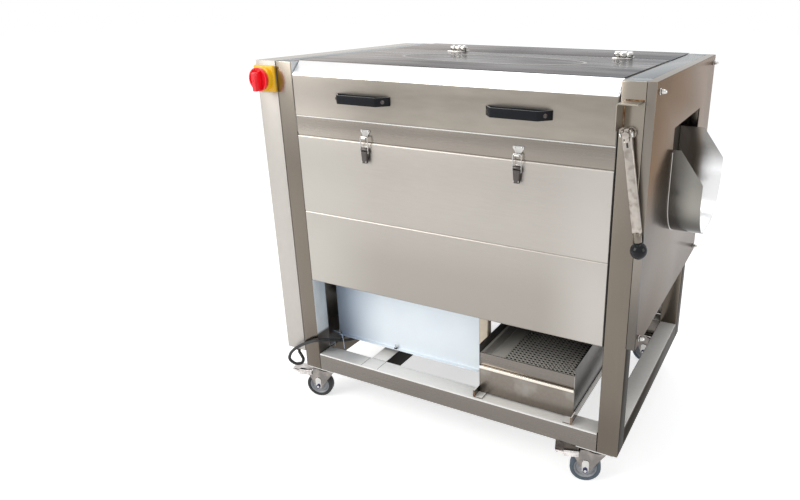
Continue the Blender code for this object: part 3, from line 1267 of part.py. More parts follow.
def gland(name, axis, centre, face, way):
    """A cable gland: a hexagonal nut and a rounded cap, standing on a face."""
    nut_end = face + way * GLAND_NUT
    end = face + way * GLAND_LENGTH
    start, stop = sorted((face + way * GAP, nut_end))
    made = piece(name, "black_plastic", rod(axis, centre, GLAND_NUT_RADIUS, start, stop, sides=6))
    start, stop = sorted((nut_end - way * WELD, end))
    fuse(made, rod(axis, centre, GLAND_CAP_RADIUS, start, stop, sides=12))
    return end


def smooth_route(points, samples):
    """Points of a Catmull-Rom curve through the route's own points."""
    route = [Vector(point) for point in points]
    ends = [route[0] * 2 - route[1]] + route + [route[-1] * 2 - route[-2]]
    smooth = []
    for a, b, c, d in zip(ends, ends[1:], ends[2:], ends[3:]):
        for step in range(samples):
            t = step / samples
            square, cube = t * t, t * t * t
            blend = 2 * b + (c - a) * t + (2 * a - 5 * b + 4 * c - d) * square + (3 * b - a - 3 * c + d) * cube
            smooth.append(blend / 2)
    smooth.append(route[-1])
    return smooth


def cable_and_glands():
    """The motor cable from the gear motor, round the left post and in a loop to the drive cover's gland."""
    gearbox_front = MOTOR_AXIS_Y - GEARBOX_HALF_WIDTH
    motor_end = gland("motor_gland", "Y", (MOTOR_GLAND_X, MOTOR_GLAND_Z), gearbox_front, -1)
    cover_end = gland("cover_gland", "Z", (COVER_GLAND_X, COVER_GLAND_Y), DRIVE_COVER_BOTTOM, -1)
    gland("supply_gland", "Z", (COVER_GLAND_X, DEPTH - SUPPLY_GLAND_FROM_BACK), DRIVE_COVER_BOTTOM, -1)
    start = (MOTOR_GLAND_X, motor_end - GAP, MOTOR_GLAND_Z)
    end = (COVER_GLAND_X, COVER_GLAND_Y, cover_end - GAP)
    start_run = (MOTOR_GLAND_X, start[1] - CABLE_STRAIGHT, MOTOR_GLAND_Z)
    end_run = (COVER_GLAND_X, COVER_GLAND_Y, end[2] - CABLE_STRAIGHT)
    points = [Vector(start), *smooth_route([start_run, *CABLE_ROUTE, end_run], CABLE_SAMPLES), Vector(end)]
    curve = bpy.data.curves.new("motor_cable", "CURVE")
    curve.dimensions = "3D"
    curve.resolution_u = 1
    curve.render_resolution_u = 0
    curve.bevel_depth = CABLE_RADIUS
    curve.bevel_resolution = 2
    curve.use_fill_caps = True
    spline = curve.splines.new("POLY")
    spline.points.add(len(points) - 1)
    for target, point in zip(spline.points, points):
        target.co = point.to_4d()
    curve.materials.append(material("black_rubber"))
    cable = bpy.data.objects.new("motor_cable", curve)
    cable.location = -ORIGIN
    bpy.context.scene.collection.objects.link(cable)


end_frames()
base_frame()
cross_rails()
bearing_plates()
rollers_and_drive()
gearmotor()
panels()
latches()
lid_and_deck()
handles()
drive_cover()
end_cover_and_chute()
gate()
splash_and_hopper()
residue_box()
spray_pipe()
for caster_place, (caster_x, caster_y, caster_heading) in CASTERS.items():
    caster(caster_place, caster_x, caster_y, caster_heading, caster_place.startswith("front"))
cable_and_glands()
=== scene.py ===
import math
from contextlib import contextmanager

import bpy
from mathutils import Matrix, Vector


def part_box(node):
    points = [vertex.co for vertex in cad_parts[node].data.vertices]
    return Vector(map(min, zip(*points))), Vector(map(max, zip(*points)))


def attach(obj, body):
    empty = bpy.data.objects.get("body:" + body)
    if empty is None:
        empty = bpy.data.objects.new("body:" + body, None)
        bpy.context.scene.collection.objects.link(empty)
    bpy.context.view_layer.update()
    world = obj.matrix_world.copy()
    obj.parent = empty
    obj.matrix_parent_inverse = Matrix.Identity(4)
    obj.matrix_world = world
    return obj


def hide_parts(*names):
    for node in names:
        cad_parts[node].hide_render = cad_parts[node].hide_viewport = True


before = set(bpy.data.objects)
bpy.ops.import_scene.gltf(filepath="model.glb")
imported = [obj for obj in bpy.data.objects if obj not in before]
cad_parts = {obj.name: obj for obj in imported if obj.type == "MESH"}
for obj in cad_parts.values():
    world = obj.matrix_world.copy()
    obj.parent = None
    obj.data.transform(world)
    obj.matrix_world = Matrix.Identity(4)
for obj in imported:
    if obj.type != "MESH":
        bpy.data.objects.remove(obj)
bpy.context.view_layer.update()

bpy.ops.object.select_all(action="DESELECT")


# The camera stands to the right of the washer at chest height and looks down at it,
# as the photograph was taken: across the front, the lid and the discharge end.
def turning(degrees, axis):
    """A turn about an axis."""
    return Matrix.Rotation(math.radians(degrees), 4, axis)


camera_data = bpy.data.cameras.new("camera")
camera_data.sensor_width = 36
camera_data.lens = 29.78
camera_data.shift_x = -0.1125
camera_data.shift_y = -0.0175
camera = bpy.data.objects.new("camera", camera_data)
bpy.context.scene.collection.objects.link(camera)
camera.location = (0.73515, -1.5725, 1.103)
heading, pitch_down, roll = 26.39, 20.05, 0.10
camera.rotation_euler = (turning(heading, "Z") @ turning(90 - pitch_down, "X") @ turning(roll, "Z")).to_euler()
bpy.context.scene.camera = camera
bpy.context.scene.view_settings.view_transform = "Standard"


# The floor is a plain pale sheet that keeps the washer's shadow. To the camera and in
# reflections it and the sky above it are white, so the steel shows a bright studio.
def shader_node(tree, kind, **inputs):
    """Add a shader node and set its inputs. The spaces in their names are written as underscores."""
    made = tree.nodes.new("ShaderNode" + kind)
    for name, value in inputs.items():
        made.inputs[name.replace("_", " ")].default_value = value
    return made


def link(tree, *pairs):
    """Link pairs of sockets, each an output and an input."""
    for source, target in pairs:
        tree.links.new(source, target)


def seen_rays(tree):
    """1 for rays from the camera and those reflected or passed on to it, else 0."""
    path = shader_node(tree, "LightPath")
    total = path.outputs["Is Camera Ray"]
    for kind in ("Is Glossy Ray", "Is Transmission Ray"):
        larger = shader_node(tree, "Math")
        larger.operation = "MAXIMUM"
        link(tree, (total, larger.inputs[0]), (path.outputs[kind], larger.inputs[1]))
        total = larger.outputs[0]
    return total


bpy.ops.mesh.primitive_plane_add(size=40, location=(0, 0, 0))
floor = bpy.context.object
floor.name = "floor"
floor_finish = bpy.data.materials.new("floor_white")
floor_finish.use_nodes = True
tree = floor_finish.node_tree
shader = tree.nodes["Principled BSDF"]
shader.inputs["Base Color"].default_value = (0.80, 0.80, 0.80, 1)
shader.inputs["Roughness"].default_value = 0.9
shader.inputs["Specular IOR Level"].default_value = 0.1
glow = shader_node(tree, "Emission", Strength=0.62)
lit = shader_node(tree, "AddShader")
mix = shader_node(tree, "MixShader")
link(
    tree,
    (shader.outputs[0], lit.inputs[0]),
    (glow.outputs[0], lit.inputs[1]),
    (seen_rays(tree), mix.inputs[0]),
    (shader.outputs[0], mix.inputs[1]),
    (lit.outputs[0], mix.inputs[2]),
    (mix.outputs[0], tree.nodes["Material Output"].inputs["Surface"]),
)
floor.data.materials.append(floor_finish)

world = bpy.data.worlds.new("studio")
bpy.context.scene.world = world
world.use_nodes = True
tree = world.node_tree
tree.nodes.clear()
dim = shader_node(tree, "Background", Color=(0.96, 0.98, 1.0, 1), Strength=0.55)
white = shader_node(tree, "Background", Color=(1, 1, 1, 1), Strength=1.0)
mix = shader_node(tree, "MixShader")
output = shader_node(tree, "OutputWorld")
link(
    tree,
    (seen_rays(tree), mix.inputs[0]),
    (dim.outputs[0], mix.inputs[1]),
    (white.outputs[0], mix.inputs[2]),
    (mix.outputs[0], output.inputs["Surface"]),
)


# Three soft boxes light the washer: a large one in front on the left for the panels,
# a weak one on the right for the discharge end, and one overhead.
for name, place, aim, size, power, tint in (
    ("key_box", (-2.2, -2.6, 2.3), (0, 0, 0.45), 2.2, 70, (1.0, 0.98, 0.95)),
    ("side_box", (3.0, -0.6, 1.6), (0.3, 0, 0.5), 1.6, 18, (1.0, 0.96, 0.92)),
    ("top_box", (-0.2, 0.5, 3.4), (0, 0, 0.9), 2.4, 30, (0.95, 0.98, 1.0)),
):
    lamp_data = bpy.data.lights.new(name, "AREA")
    lamp_data.shape = "SQUARE"
    lamp_data.size = size
    lamp_data.energy = power
    lamp_data.color = tint
    lamp = bpy.data.objects.new(name, lamp_data)
    bpy.context.scene.collection.objects.link(lamp)
    lamp.location = place
    lamp.rotation_euler = (Vector(aim) - Vector(place)).to_track_quat("-Z", "Y").to_euler()


# The motor cable is a black rubber-sheathed lead, 8.5 mm thick. It leaves the gear motor, comes
# out under the splash panel round the left post, loops and goes up into the drive cover.
def smooth_line(points, samples):
    """Points of a Catmull-Rom curve through the given ones."""
    ends = [points[0] * 2 - points[1]] + points + [points[-1] * 2 - points[-2]]
    smooth = []
    for a, b, c, d in zip(ends, ends[1:], ends[2:], ends[3:]):
        for step in range(samples):
            t = step / samples
            curl, bow = 2 * a - 5 * b + 4 * c - d, 3 * b - a - 3 * c + d
            smooth.append((2 * b + (c - a) * t + curl * t**2 + bow * t**3) / 2)
    return smooth + [points[-1]]


def wire(name, points, radius, detail, cyclic=False):
    """A round wire or lead along a line of points."""
    curve = bpy.data.curves.new(name, "CURVE")
    curve.dimensions = "3D"
    curve.bevel_depth = radius
    curve.bevel_resolution = detail
    curve.resolution_u = 1
    curve.render_resolution_u = 0
    curve.use_fill_caps = not cyclic
    spline = curve.splines.new("POLY")
    spline.points.add(len(points) - 1)
    spline.use_cyclic_u = cyclic
    for target, point in zip(spline.points, points):
        target.co = (*point, 1)
    made = bpy.data.objects.new(name, curve)
    bpy.context.scene.collection.objects.link(made)
    return made


def finish_of(name, colour, roughness, metallic=0.0, grain=60, vary=0.15, bump=0.05, gloss=0.0, shine=0.5):
    """A finish mottled in colour, roughness and surface, with its grain in waves per metre."""
    made = bpy.data.materials.new(name)
    made.use_nodes = True
    tree = made.node_tree
    shader = tree.nodes["Principled BSDF"]
    shader.inputs["Metallic"].default_value = metallic
    shader.inputs["Coat Weight"].default_value = gloss
    shader.inputs["Specular IOR Level"].default_value = shine
    place = shader_node(tree, "TexCoord")
    stretch = shader_node(tree, "Mapping", Scale=grain if isinstance(grain, tuple) else (grain, grain, grain))
    fine = shader_node(tree, "TexNoise", Scale=1.0, Detail=4.0)
    broad = shader_node(tree, "TexNoise", Scale=5.0, Detail=3.0)
    both = shader_node(tree, "Math")
    both.operation = "ADD"
    shade = shader_node(tree, "MapRange", From_Min=0.6, From_Max=1.4)
    tint = shader_node(tree, "Mix")
    tint.data_type = "RGBA"
    tint.inputs["A"].default_value = (*[value * (1 - vary) for value in colour], 1)
    tint.inputs["B"].default_value = (*[min(1, value * (1 + vary)) for value in colour], 1)
    rough = shader_node(tree, "MapRange", To_Min=roughness * (1 - vary), To_Max=roughness * (1 + vary))
    relief = shader_node(tree, "Bump", Strength=bump, Distance=0.0005)
    link(
        tree,
        (place.outputs["Object"], stretch.inputs["Vector"]),
        (stretch.outputs["Vector"], fine.inputs["Vector"]),
        (place.outputs["Object"], broad.inputs["Vector"]),
        (fine.outputs["Fac"], both.inputs[0]),
        (broad.outputs["Fac"], both.inputs[1]),
        (both.outputs[0], shade.inputs["Value"]),
        (shade.outputs[0], tint.inputs["Factor"]),
        (tint.outputs["Result"], shader.inputs["Base Color"]),
        (fine.outputs["Fac"], rough.inputs["Value"]),
        (rough.outputs[0], shader.inputs["Roughness"]),
        (fine.outputs["Fac"], relief.inputs["Height"]),
        (relief.outputs[0], shader.inputs["Normal"]),
    )
    return made


x0, y0 = -0.46885, -0.3235
corner = Vector((x0, y0, 0))
radius = 0.00425
motor_exit = corner + Vector((0.110, 0.1417, 0.180))
cover_entry = corner + Vector((-0.045, 0.022, 0.1337))
route = [motor_exit - Vector((0, radius * 2, 0))]
for place in (
    (0.109, 0.118, 0.1745), (0.101, 0.100, 0.169), (0.090, 0.0825, 0.1675), (0.078, 0.062, 0.1735),
    (0.068, 0.038, 0.1845), (0.062, 0.012, 0.196), (0.0535, -0.0065, 0.201), (0.032, -0.0115, 0.194),
    (0.001, -0.012, 0.177), (-0.025, -0.012, 0.159), (-0.044, -0.012, 0.140), (-0.053, -0.011, 0.121),
    (-0.050, -0.007, 0.108), (-0.038, -0.001, 0.100), (-0.027, 0.008, 0.101), (-0.027, 0.016, 0.109),
    (-0.036, 0.020, 0.117),
):
    route.append(corner + Vector(place))
route.append(cover_entry - Vector((0, 0, radius * 2)))
rubber_black = finish_of("rubber_black", (0.013, 0.013, 0.014), 0.5, grain=300, vary=0.25, bump=0.15)
line = [motor_exit] + smooth_line(route, 8) + [cover_entry]
cable = wire("lead_to_motor", line, radius, 6)
cable.data.materials.append(rubber_black)
length = sum((b - a).length for a, b in zip(line, line[1:]))
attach(cable, "frame")
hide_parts("motor_cable")


# Four posts and their rails are 50 mm square stainless tube with rounded corners, welded into
# a ring at each end and ground flush. Black strips fill the gaps beside the panels as painted shade.
def chosen(made):
    """Select one piece alone."""
    bpy.ops.object.select_all(action="DESELECT")
    made.select_set(True)
    bpy.context.view_layer.objects.active = made
    return made


def settled(made):
    """Put a piece's place into its mesh, and leave nothing selected."""
    chosen(made)
    bpy.ops.object.transform_apply(location=True, rotation=True, scale=True)
    made.select_set(False)
    return made


def added(name):
    """Name the shape just added, and settle it."""
    made = bpy.context.object
    made.name = made.data.name = name
    return settled(made)


def changed(made, kind, **settings):
    """Apply one modifier to a piece."""
    step = made.modifiers.new(kind.lower(), kind)
    for setting, value in settings.items():
        setattr(step, setting, value)
    bpy.context.view_layer.objects.active = made
    bpy.ops.object.modifier_apply(modifier=step.name)
    return made


def eased(made, width, steps, angle=30):
    """Round the edges at which a piece turns by more than an angle."""
    limit = math.radians(angle)
    return changed(made, "BEVEL", width=width, segments=steps, limit_method="ANGLE", angle_limit=limit)


def bar(name, low, high, edge=0.003, steps=3):
    """A straight bar or plate between two corners, with its edges rounded."""
    low, high = Vector(low), Vector(high)
    bpy.ops.mesh.primitive_cube_add(size=1, location=(low + high) / 2, scale=high - low)
    made = added(name)
    return changed(made, "BEVEL", width=edge, segments=steps, limit_method="NONE") if edge else made


def rod(name, axis, centre, radius, start, end, edge=0.0, sides=24):
    """A round bar along an axis, its ends rounded. The centre is the axis's own place."""
    middle = Vector(centre)
    middle["XYZ".index(axis)] = (start + end) / 2
    turn = {"X": (0, math.pi / 2, 0), "Y": (math.pi / 2, 0, 0), "Z": (0, 0, 0)}[axis]
    bpy.ops.mesh.primitive_cylinder_add(
        vertices=sides, radius=radius, depth=abs(end - start), location=middle, rotation=turn
    )
    made = added(name)
    return eased(made, edge, 2, 40) if edge else made


def joined(parts):
    """Make several shapes one."""
    made = chosen(parts[0])
    for part in parts:
        part.select_set(True)
    if len(parts) > 1:
        bpy.ops.object.join()
    return made


def piece(name, parts, finish, body, slot, *stands_for):
    """Join shapes to one piece. Give it its finish and its body, and hide the CAD nodes that it stands for."""
    made = joined(parts)
    made.name = made.data.name = name
    made.data.materials.clear()
    made.data.materials.append(finish)
    if made.type == "MESH":
        chosen(made)
        bpy.ops.object.shade_smooth_by_angle(angle=math.radians(32))
        made.select_set(False)
    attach(made, body)
    if stands_for:
        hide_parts(*stands_for)
    return made


def overlaid(made, mask, start, end, other):
    """Let a second colour take over in a finish while a mask goes from one value to another."""
    tree = made.node_tree
    shader = tree.nodes["Principled BSDF"]
    base = shader.inputs["Base Color"].links[0].from_socket
    span = shader_node(tree, "MapRange", From_Min=min(start, end), From_Max=max(start, end))
    tint = shader_node(tree, "Mix")
    tint.data_type = "RGBA"
    tint.inputs["B"].default_value = (*other, 1)
    link(
        tree,
        (mask, span.inputs["Value"]),
        (span.outputs[0], tint.inputs["Factor"]),
        (base, tint.inputs["A"]),
        (tint.outputs["Result"], shader.inputs["Base Color"]),
    )
    return span


def graded(made, axis, start, end, other):
    """Let a second colour take over between two places along one axis of the object."""
    tree = made.node_tree
    place = shader_node(tree, "TexCoord")
    split = shader_node(tree, "SeparateXYZ")
    link(tree, (place.outputs["Object"], split.inputs[0]))
    span = overlaid(made, split.outputs[axis], start, end, other)
    span.interpolation_type = "SMOOTHSTEP"
    span.inputs["To Min"].default_value, span.inputs["To Max"].default_value = (0, 1) if start < end else (1, 0)


def glancing(made, tint):
    """Tint what a finish mirrors at a glancing view."""
    made.node_tree.nodes["Principled BSDF"].inputs["Specular Tint"].default_value = (*tint, 1)


def painted(made, finish, test):
    """Give the faces that pass a test a finish of their own."""
    made.data.materials.append(finish)
    for face in made.data.polygons:
        if test(face):
            face.material_index = len(made.data.materials) - 1


def faced(made, finish, heading, low=(-9, -9, -9), high=(9, 9, 9)):
    """Give the faces that point one way, within a space, a finish of their own."""
    painted(
        made,
        finish,
        lambda face: all(a <= c <= b for a, c, b in zip(low, face.center, high))
        and face.normal.dot(Vector(heading)) > 0.8,
    )


# The tube steel grows lighter towards the top of the posts and darker towards their feet: painted highlight and
# painted shade.
post_steel = finish_of("post_steel", (0.165, 0.142, 0.118), 0.22, 1.0, grain=(380, 380, 7), vary=0.06, bump=0.02)
graded(post_steel, "Z", 0.60, 0.92, (0.32, 0.285, 0.24))
graded(post_steel, "Z", 0.30, 0.16, (0.135, 0.115, 0.095))
# A dark copy of the tube steel, its reflections dimmed, paints the shade on the right ring's outer faces.
side_steel = finish_of("side_steel", (0.085, 0.082, 0.078), 0.3, 1.0, grain=(60, 8, 8), vary=0.12, bump=0.02)
glancing(side_steel, (0.35, 0.34, 0.33))
# A pale copy of the steel paints the light on the tops of the lower rails, fading darker towards the left end as
# painted shade.
top_steel = finish_of("rail_top_steel", (0.90, 0.88, 0.845), 0.5, 0.1, grain=(60, 200, 60), vary=0.06, bump=0.03)
graded(top_steel, "X", x0 + 0.22, x0 + 0.14, (0.56, 0.55, 0.54))
# A bluish dark copy of the steel on the top faces of the rings is a painted reflection.
head_steel = finish_of("head_steel", (0.15, 0.175, 0.19), 0.25, 1.0, grain=(60, 8, 60), vary=0.3, bump=0.02)
# A pale blue-white copy on the left front post's inner face is a painted reflection, with painted shade at its foot.
cheek_steel = finish_of("cheek_steel", (0.64, 0.67, 0.69), 0.45, 0.25, grain=(40, 40, 14), vary=0.25, bump=0.03)
graded(cheek_steel, "Z", 0.222, 0.212, (0.075, 0.065, 0.055))
tube, lap = 0.050, 0.002
foot_z, rail_z = 0.105, 0.155
rear_y = y0 + 0.677
shaft_x, shaft_z = x0 + 0.885, 0.8549
for side, x in (("left", x0), ("right", x0 + 0.860)):
    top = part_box(f"{side}_end_frame")[1].z
    tubes = [
        bar("front_post", (x, y0, foot_z), (x + tube, y0 + tube, top)),
        bar("rear_post", (x, rear_y - tube, foot_z), (x + tube, rear_y, top)),
    ]
    for low_z, high_z in ((foot_z, rail_z), (top - tube, top)):
        tubes.append(bar("rail", (x, y0 + tube - lap, low_z), (x + tube, rear_y - tube + lap, high_z)))
    if side == "right":
        tubes.append(rod("shaft_bush", "Y", (shaft_x, 0, shaft_z), 0.0125, y0 - 0.003, y0 + 0.004, 0.001))
    ring = piece(f"{side}_end_ring", tubes, post_steel, "frame", "brushed_stainless", f"{side}_end_frame")
    # Faces take painted light and shade by the way they point: light rail tops, bluish ring tops, a dark right side
    # and a pale left inner face.
    faced(ring, top_steel, (0, 0, 1), high=(9, 9, 0.16))
    faced(ring, head_steel, (0, 0, 1), low=(-9, -9, 0.94))
    if side == "right":
        faced(ring, side_steel, (1, 0, 0))
    else:
        faced(ring, cheek_steel, (1, 0, 0), high=(9, y0 + tube, 9))
# These black strips fill the gaps beside the panels to paint the shade in them.
strips = []
for left, right, front, foot, head in (
    (0.0504, 0.0521, 0.0003, 0.381, 0.7825),
    (0.0493, 0.0512, 0.0004, 0.8345, 0.9120),
    (0.8579, 0.8596, 0.0003, 0.381, 0.9120),
):
    strip = bar("strip", (x0 + left, y0 - front, foot), (x0 + right, y0 + 0.0040, head), 0)
    strips.append(eased(strip, 0.0004, 2))
piece("gap_shade_strips", strips, rubber_black, "frame", "black_rubber")


# The base is two rails of the same tube between the end rings, a cross member for the motor
# and two angle runners for the residue box. The welds are ground but leave faint marks.
@contextmanager
def editing(made, test=None):
    """Edit mode on one piece, with all of it selected or only the faces that pass a test."""
    chosen(made)
    bpy.ops.object.mode_set(mode="EDIT")
    bpy.ops.mesh.select_all(action="DESELECT" if test else "SELECT")
    if test:
        bpy.ops.object.mode_set(mode="OBJECT")
        for face in made.data.polygons:
            face.select = test(face)
        bpy.ops.object.mode_set(mode="EDIT")
    yield
    bpy.ops.object.mode_set(mode="OBJECT")
    made.select_set(False)


def extruded(run):
    """Draw what is selected out along a run."""
    bpy.ops.mesh.extrude_region_move(TRANSFORM_OT_translate={"value": run})


def profile(name, points):
    """A chain of edges through points, drawn out from one vertex."""
    points = [Vector(point) for point in points]
    bpy.ops.mesh.primitive_plane_add(size=0.001, location=points[0])
    made = bpy.context.object
    made.name = made.data.name = name
    with editing(made):
        bpy.ops.mesh.merge(type="CENTER")
        for a, b in zip(points, points[1:]):
            extruded(b - a)
    return settled(made)


def drawn(name, line, run):
    """A line drawn out along a run to a skin."""
    made = profile(name, line)
    with editing(made):
        extruded(run)
    return made


def sheet(name, line, run, thickness=0.0015, side=-1, bend=0.0025, edge=0.0004):
    """Sheet metal folded along a line and drawn out along a run, its bends rounded."""
    made = drawn(name, line, run)
    if bend:
        eased(made, bend, 4, 20)
    changed(made, "SOLIDIFY", thickness=thickness, offset=side)
    return eased(made, edge, 1, 60) if edge else made


def at_x(x, *places):
    """Points at one distance along the washer."""
    return [(x, *place) for place in places]


brushed = {"grain": (7, 380, 380), "vary": 0.07, "bump": 0.02}
rail_steel = finish_of("rail_steel", (0.185, 0.166, 0.15), 0.27, 1.0, **brushed)
# A near-black steel that paints shade on faces deep in shadow, and also colours the faint weld marks.
shade_and_mark_steel = finish_of("shade_and_mark_steel", (0.02, 0.019, 0.018), 0.5, 1.0, grain=90, vary=0.2, bump=0.03)
# A pale copy of the steel for rounded front top edges paints their highlight.
edge_steel = finish_of("edge_steel", (0.93, 0.91, 0.88), 0.45, grain=(25, 60, 60), vary=0.12, bump=0.02)
edge_heading = (0, -0.7071, 0.7071)
low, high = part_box("base_frame")
cross = x0 + 0.193
tubes = [
    bar("front_rail", (low.x, y0, foot_z), (high.x, y0 + tube, rail_z)),
    bar("rear_rail", (low.x, rear_y - tube, foot_z), (high.x, rear_y, rail_z)),
    bar("cross_member", (cross, y0 + tube - lap, foot_z), (cross + tube, rear_y - tube + lap, rail_z)),
]
box_low, box_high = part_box("residue_box")
for x, way in ((box_low.x - 0.0006, 1), (box_high.x + 0.0006, -1)):
    front, foot = y0 + 0.0055, 0.1551
    line = [(x + way * 0.0195, front, foot), (x - way * 0.003, front, foot), (x - way * 0.003, front, 0.1745)]
    tubes.append(sheet("runner", line, (0, 0.666, 0), 0.0027, -way, bend=0.002))
rails = piece("base_rails", tubes, rail_steel, "frame", "brushed_stainless", "base_frame")
# The front rail's rounded top edge takes a painted highlight, the tops painted light and the cross member's right
# face painted shade.
faced(rails, edge_steel, edge_heading, high=(9, y0 + 0.01, 9))
faced(rails, top_steel, (0, 0, 1))
faced(rails, shade_and_mark_steel, (1, 0, 0), high=(cross + tube + 0.01, 9, 0.156))
marks = []
for x in (cross - 0.002, cross + tube):
    mark = bar("mark", (x, y0 + 0.004, 0.1548), (x + 0.0010, y0 + tube - 0.003, 0.1552), 0)
    marks.append(changed(mark, "BEVEL", width=0.0001, segments=1))
piece("weld_marks", marks, shade_and_mark_steel, "frame", "brushed_stainless")


# The latch rail is a length of tube across the front under the lid. Each latch pulls on a
# pressed keeper: a riveted plate with a narrow waist, turned out below into a hook.
latch_rail_steel = finish_of("latch_rail_steel", (0.25, 0.225, 0.198), 0.27, 1.0, **brushed)
# Lighter towards the left end, where the key light falls: painted light.
graded(latch_rail_steel, "X", x0 + 0.30, x0 + 0.04, (0.36, 0.325, 0.285))
low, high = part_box("latch_rail")
latch_rail = bar("tube", (low.x, y0, low.z), (high.x, high.y, high.z))
piece("latch_rail_tube", [latch_rail], latch_rail_steel, "frame", "brushed_stainless", "latch_rail")
# Painted highlight along the rail's rounded top front edge.
faced(latch_rail, edge_steel, edge_heading)
bright_steel = finish_of("bright_steel", (0.56, 0.55, 0.53), 0.18, 1.0, grain=90, vary=0.12, bump=0.02)
dark_steel = finish_of("dark_steel", (0.10, 0.09, 0.085), 0.35, 1.0, grain=90, vary=0.2, bump=0.05)
latch_places = {}
for side in ("left", "right"):
    low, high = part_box(f"latch_lever_{side}")
    x = latch_places[side] = (low.x + high.x) / 2
    bpy.ops.mesh.primitive_plane_add(size=1, location=(x, y0 - 0.0014, 0.7975), rotation=(math.pi / 2, 0, 0))
    bpy.context.object.scale = (0.027, 0.017, 1)
    keeper = added("keeper")
    with editing(keeper):
        bpy.ops.mesh.subdivide(number_cuts=4)
    for vertex in keeper.data.vertices:
        waist = max(0.0, (0.8005 - vertex.co.z) / 0.0115)
        vertex.co.x = x + (vertex.co.x - x) * (1 - 0.52 * min(1.0, waist * 1.3))
        vertex.co.y -= 0.0012 * max(0.0, waist - 0.3)
    changed(keeper, "SOLIDIFY", thickness=0.0012, offset=0)
    changed(keeper, "SUBSURF", levels=1, render_levels=1)
    line = at_x(x - 0.0055, (y0 - 0.0018, 0.7905), (y0 - 0.0098, 0.7872), (y0 - 0.0102, 0.7848))
    parts = [keeper, sheet("hook", line, (0.011, 0, 0), 0.0012, 1, bend=0.001, edge=0.0002)]
    for offset in (-0.0085, 0.0085):
        parts.append(rod("rivet", "Y", (x + offset, 0, 0.8018), 0.0023, y0 - 0.0034, y0 - 0.0012, 0.0007, 12))
    piece(f"keeper_{side}", parts, bright_steel, "frame", "polished_stainless")


# The front is closed by two sheets of fine-ground stainless, each folded back along its top
# and bottom. The lower one is fixed; the upper one hangs on its latches and lifts away.
panel_steel = finish_of("panel_steel", (0.395, 0.368, 0.34), 0.40, 1.0, grain=(30, 500, 500), vary=0.05, bump=0.02)
# The panel sheet darkens towards the foot of the lower panel and lightens towards both ends: painted shade and
# painted light.
graded(panel_steel, "Z", 0.60, 0.46, (0.325, 0.30, 0.272))
graded(panel_steel, "X", x0 + 0.30, x0 + 0.05, (0.43, 0.41, 0.375))
graded(panel_steel, "X", x0 + 0.70, x0 + 0.84, (0.45, 0.425, 0.395))
for name, node, body in (
    ("lower_panel", "lower_front_panel", "frame"),
    ("upper_panel", "upper_front_panel", "upper_panel"),
):
    low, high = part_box(node)
    line = at_x(low.x + 0.0022, (high.y, high.z), (y0, high.z), (y0, low.z), (high.y, low.z))
    panel = sheet("panel", line, (high.x - low.x - 0.0044, 0, 0), 0.0015, 1, bend=0.0035)
    piece(name, [panel], panel_steel, body, "matt_stainless", node)


# The lid is one folded sheet: a flat top, a front edge turned down at 45 degrees and a front
# with a return at its foot. An oval bead stiffens the top, and side flanges close its ends.
lid_steel = finish_of("lid_steel", (0.275, 0.25, 0.217), 0.30, 1.0, grain=(12, 12, 60), vary=0.12, bump=0.01)
# Lighter towards the left end: painted light.
graded(lid_steel, "X", x0 + 0.32, x0 + 0.06, (0.44, 0.40, 0.357))
# The lid top's streaky mottle, lighter left end, bluish right end and tinted sheen paint the reflections in the
# ground top.
lid_top_steel = finish_of("lid_top_steel", (0.085, 0.083, 0.084), 0.24, 1.0, grain=(4, 26, 26), vary=0.95, bump=0.02)
graded(lid_top_steel, "X", x0 + 0.42, x0 + 0.08, (0.36, 0.325, 0.30))
graded(lid_top_steel, "X", x0 + 0.70, x0 + 0.86, (0.085, 0.10, 0.115))
glancing(lid_top_steel, (0.68, 0.665, 0.665))
# A lighter copy on the oval bead paints the highlight along it.
bead_steel = finish_of("bead_steel", (0.34, 0.33, 0.32), 0.3, 1.0, grain=40, vary=0.2, bump=0.02)
# A near-white copy on the 45-degree front edge paints its highlight.
bright_edge = finish_of("chamfer_steel", (0.92, 0.92, 0.92), 0.30, 1.0, grain=(12, 420, 420), vary=0.04, bump=0.02)
low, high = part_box("lid")
left, right, top, hinge_y = low.x, high.x, 0.952, y0 + 0.440
outline = ((y0, top - 0.030), (y0 + 0.030, top), (hinge_y, top))
line = at_x(left, (y0 + 0.012, low.z), (y0, low.z), *outline, (hinge_y, top - 0.017))
parts = [sheet("shell", line, (right - left, 0, 0), bend=0.003)]
for x, way in ((left, 1), (right, -1)):
    flange = drawn("end", at_x(x, (y0, low.z), *outline), (0, 0.013, -0.013))
    parts.append(changed(flange, "SOLIDIFY", thickness=0.0015, offset=way))
middle = Vector(((left + right) / 2, y0 + 0.258, top - 0.0005))
oval_x, oval_y = 0.245, 0.095
bpy.ops.mesh.primitive_torus_add(
    location=middle, major_radius=1, minor_radius=0.02, major_segments=96, minor_segments=10
)
bead = added("bead")
for vertex in bead.data.vertices:
    offset = vertex.co - middle
    across = offset.xy.length
    way = offset.xy / across
    reach = Vector((way.x * oval_x, way.y * oval_y)) + way * (across - 1) * 0.30
    vertex.co = middle + Vector((reach.x, reach.y, offset.z * 0.14))
lid = piece("lid_sheet", [*parts, bead], lid_steel, "lid", "matt_stainless", "lid")
# The lid's top faces take the painted reflections, its slanted front edge and its bead a painted highlight each.
for finish in (lid_top_steel, bright_edge, bead_steel):
    lid.data.materials.append(finish)
for face in lid.data.polygons:
    place, normal = face.center, face.normal
    proud = place.z > top + 0.0003
    oval = ((place.x - middle.x) / oval_x) ** 2 + ((place.y - middle.y) / oval_y) ** 2
    if proud and 0.8 < oval < 1.25:
        face.material_index = 3
    elif proud or normal.z > 0.9 and place.z > top - 0.002:
        face.material_index = 1
    elif normal.z > 0.3 and normal.y < -0.3 and place.z > top - 0.031:
        face.material_index = 2


